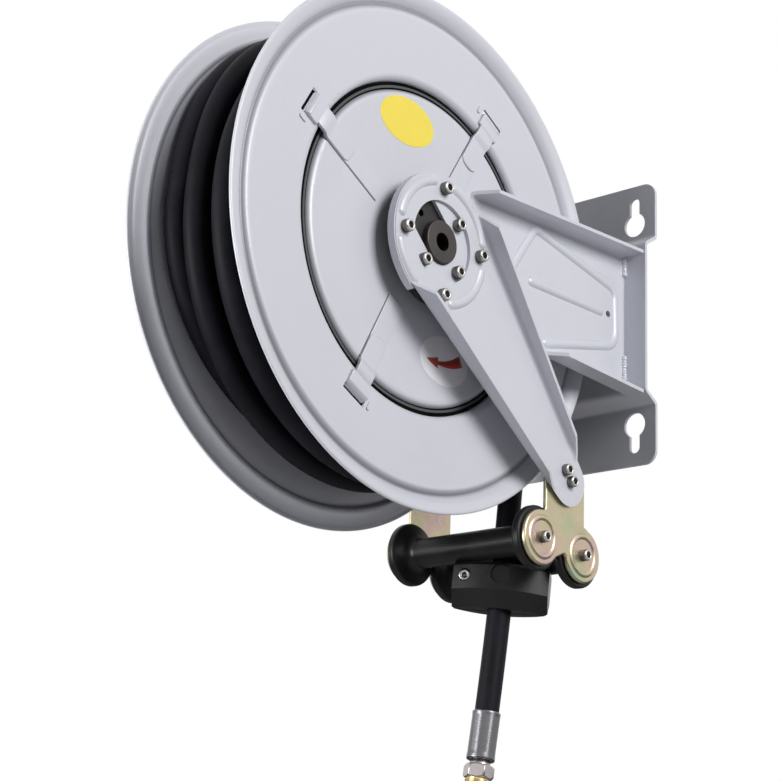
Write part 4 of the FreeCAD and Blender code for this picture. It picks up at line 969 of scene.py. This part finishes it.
class REEL_OT_labels(bpy.types.Operator):
    """Sticks the blank oval label and the pale film with its arrow on the spring cover"""
    bl_idname = "reel.labels"
    bl_label = "Labels"

    def execute(self, context):
        made = finishes()
        pieces = [make_piece(name, [puck(*sizes)], made[finish], ends=True)
                  for name, (finish, *sizes) in LABELS.items()]
        for piece in (*pieces, self.arrow(made["Red Print"])):
            belongs(piece, "drum")
        return {"FINISHED"}

    def arrow(self, material):
        """A curved arrow: a ribbon along (1 - t)^2 tail + 2 t (1 - t) bend + t^2 tip, whose half
        width shrinks from tail to neck, jumps at the barb and runs out to a point."""
        t = np.array([0, 0.08, 0.16, 0.24, 0.32, 0.40, 0.48, 0.56, 0.64, 0.690, 0.691, 0.80, 0.90,
                      1.0])
        half = np.array([4.7, 4.5, 4.2, 3.9, 3.5, 3.1, 2.6, 2.2, 1.8, 1.6, 4.7, 3.1, 1.6,
                         0.02]) / 1000
        tail, bend, tip = np.array([[50.6, -83.1], [32.3, -93.5], [8.9, -89.0]]) / 1000
        share = t[:, None]
        line = (1 - share) ** 2 * tail + 2 * share * (1 - share) * bend + share ** 2 * tip
        way = 2 * (1 - share) * (bend - tail) + 2 * share * (tip - bend)
        side = np.stack([-way[:, 1], way[:, 0]], axis=1)
        side /= np.linalg.norm(way, axis=1, keepdims=True)
        grid = np.zeros((2, len(t), 3))
        grid[..., 0] = COVER_FACE + LABELS["pale_film"][-1] + PRINT_LIFT
        for row, sign in enumerate((-1, 1)):
            grid[row, :, 1:] = line + sign * half[:, None] * side + (AXIS_Y, 0.0)
        piece = make_piece("arrow_print", [grid], material, closed=False)
        thick = piece.modifiers.new("film", "SOLIDIFY")
        thick.thickness = PRINT_THICKNESS
        thick.offset = 0.0
        return piece


class REEL_OT_fitting(bpy.types.Operator):
    """Adds the crimped ferrule, the hexagon nut and the threaded nipple at the hose's end"""
    bl_idname = "reel.fitting"
    bl_label = "Hose Fitting"

    def execute(self, context):
        made = finishes()
        end = np.array(ROUTE[4])
        way = end - np.array(ROUTE[3])
        way = way / np.linalg.norm(way)
        start = end - way * GRIP
        pieces = [("crimped_ferrule", self.ferrule(start, way), "Bright Plate", "plated_steel",
                   "hose_ferrule"),
                  ("hose_nut", self.nut(start + way * NUT_START, way), "Nickel", "plated_steel",
                   "fitting_nut"),
                  ("hose_nipple", self.thread(start + way * NIPPLE_START, way), "Brass", "brass",
                   "fitting_thread")]
        for name, grid, finish, slot, node in pieces:
            belongs(make_piece(name, [grid], made[finish], ends=True), "frame", node)
        return {"FINISHED"}

    def ferrule(self, start, way):
        """A sleeve pressed by eight dies: radius = its own - depth * fade * (1 + cos(8 t)), with
        fade running from 0 at the ends to 1 between them."""
        rows = np.linspace(0, FERRULE_LENGTH, 60)
        last = FERRULE_LENGTH - 2 * DIE_START
        fade = np.clip(np.minimum(rows - DIE_START, last - rows) / DIE_FADE, 0, 1)
        fade = fade * fade * (3 - 2 * fade)
        end_round = np.clip(np.minimum(rows, FERRULE_LENGTH - rows) / 0.0009, 0, 1)
        base = FERRULE_RADIUS - 0.0007 * (1 - end_round) ** 2
        lip = [(0.0008, 0.01008), (0.0, 0.0102), (-0.00001, 0.0108)]
        floor = [(FERRULE_LENGTH + 0.0001, 0.0100), (FERRULE_LENGTH + 0.0001, BORE)]
        profile = np.concatenate([lip, np.stack([rows, base], axis=1), floor])
        depth = np.pad(fade * DIE_DEPTH, (len(lip), len(floor)))[:, None]
        return turned(profile, start, way, 128, lambda t: -depth * (1 + np.cos(DIES * t)))

    def nut(self, start, way):
        """A neck, then a hexagon whose corners are turned off: radius = the smaller of the
        hexagon's and a cone's."""
        along, cone, is_hex = np.array(NUT).T
        angle = full_turn(144)
        flat = NUT_FLAT / np.cos((angle % (np.pi / 3)) - np.pi / 6)
        cone = cone[:, None] / 1000
        reach = np.where(is_hex[:, None] == 1, np.minimum(cone, flat), cone)
        return rings(start, way, along / 1000, reach, angle)

    def thread(self, start, way):
        """A parallel pipe thread: radius = crest - depth * (0.5 - 0.5 cos of the phase
        along / pitch - t), which winds as one start, with run-outs at both ends."""
        along = np.linspace(0.0, THREAD_LENGTH, 120)
        angle = full_turn(72)
        phase = 2 * np.pi * along[:, None] / THREAD_PITCH - angle
        cut = 0.5 - 0.5 * np.cos(phase)
        fade = np.clip(np.minimum(along - 0.0018, 0.0155 - along) / 0.0006, 0, 1)[:, None]
        crest = np.interp(along, [0, 0.0016, 0.0020, 0.0150, 0.0160],
                          [THREAD_END, THREAD_END, THREAD_RADIUS, THREAD_RADIUS, THREAD_END])
        reach = crest[:, None] - THREAD_DEPTH * fade * np.clip(cut * 1.25, 0, 1)
        bore = np.full((2, 72), BORE)
        along = np.concatenate([along, [THREAD_LENGTH, 0.0100]])
        return rings(start, way, along, np.concatenate([reach, bore]), angle)


class REEL_OT_stop(bpy.types.Operator):
    """Adds the two screws that clamp the hose stop"""
    bl_idname = "reel.stop"
    bl_label = "Hose Stop"

    def execute(self, context):
        way = np.array(ROUTE[3]) - np.array(ROUTE[2])
        middle = np.array(ROUTE[2]) + way * STOP_SHARE
        down = way / np.linalg.norm(way)
        upright = Vector((0, 0, -1)).rotation_difference(Vector(down)).to_matrix()
        turn = upright @ Matrix.Rotation(np.radians(STOP_TURN), 3, "Z")
        along, out, up = np.array(turn.col[0]), -np.array(turn.col[1]), np.array(turn.col[2])
        rise, apart, off = STOP_SCREW
        heads = [socket_screw(middle + up * rise + side * (out * apart - along * off), side * out,
                              head=0.0050, tall=0.0060, across=0.0040, knurl=0.0002,
                              ridges=STOP_RIDGES) for side in (1, -1)]
        piece = make_piece("stop_screws", heads, finishes()["Screw Zinc"], ends=True)
        shade_screws(piece, STOP_RIDGES)
        belongs(piece, "frame", "hose_stop_screws")
        return {"FINISHED"}


class REEL_OT_welds(bpy.types.Operator):
    """Runs the weld beads between the support arms and the wall plate"""
    bl_idname = "reel.welds"
    bl_label = "Weld Beads"

    def execute(self, context):
        beads = [self.bead(side, low, high) for side in (1, -1) for low, high in WELD_RUNS]
        piece = make_piece("weld_beads", beads, finishes()["Painted Weld"], ends=True)
        belongs(piece, "frame")
        return {"FINISHED"}

    def bead(self, side, low, high):
        """A lumpy run up the corner of arm and plate: radius = its own * (ripple of overlapping
        drops) * a slow wander * an end taper."""
        t = np.linspace(0, 1, WELD_ROWS)
        line = np.stack([np.full_like(t, side * (WEB_FACE + 0.0003)), np.full_like(t, WELD_Y),
                         low + (high - low) * t], axis=1)
        drops = 0.80 + 0.20 * np.abs(np.sin(np.pi * t * (high - low) / WELD_DROP))
        wander = 1 + 0.12 * np.sin(9.0 * t + side) + 0.08 * np.sin(23.0 * t)
        taper = np.clip(np.minimum(t, 1 - t) / 0.07, 0.05, 1) ** 0.5
        return swept(line, WELD_RADIUS * drops * wander * taper, 16,
                     np.tile([1.0, 0.0, 0.0], (WELD_ROWS, 1)))


PIECES = (REEL_OT_finishes, REEL_OT_discs, REEL_OT_straps, REEL_OT_wound_hose, REEL_OT_screws,
          REEL_OT_labels, REEL_OT_fitting, REEL_OT_stop, REEL_OT_free_hose, REEL_OT_welds,
          REEL_OT_stage)


class REEL_PT_looks(bpy.types.Panel):
    """Lists the reel's pieces and the values that shape them"""
    bl_idname = "REEL_PT_looks"
    bl_label = "Hose Reel"
    bl_space_type = "VIEW_3D"
    bl_region_type = "UI"
    bl_category = "Hose Reel"

    def draw(self, context):
        scene = context.scene
        for operator in PIECES:
            self.layout.operator(operator.bl_idname)
        for group in (scene.reel_hose, scene.reel_screws, scene.reel_colours, scene.reel_stage):
            for name in group.__annotations__:
                self.layout.prop(group, name)


GROUPS = {"reel_hose": HoseSizes, "reel_screws": ScrewSizes, "reel_colours": ReelColours,
          "reel_stage": StageSizes}


def register():
    for thing in (*GROUPS.values(), *PIECES, REEL_PT_looks):
        bpy.utils.register_class(thing)
    for name, group in GROUPS.items():
        setattr(bpy.types.Scene, name, PointerProperty(type=group))


def unregister():
    for name in GROUPS:
        delattr(bpy.types.Scene, name)
    for thing in reversed((*GROUPS.values(), *PIECES, REEL_PT_looks)):
        bpy.utils.unregister_class(thing)


def main():
    register()
    bpy.ops.reel.finishes()
    bpy.ops.reel.discs()
    bpy.ops.reel.straps()
    bpy.ops.reel.wound_hose()
    bpy.ops.reel.screws()
    bpy.ops.reel.labels()
    bpy.ops.reel.fitting()
    bpy.ops.reel.stop()
    bpy.ops.reel.free_hose()
    bpy.ops.reel.welds()
    bpy.ops.reel.stage()


if __name__ == "__main__":
    main()
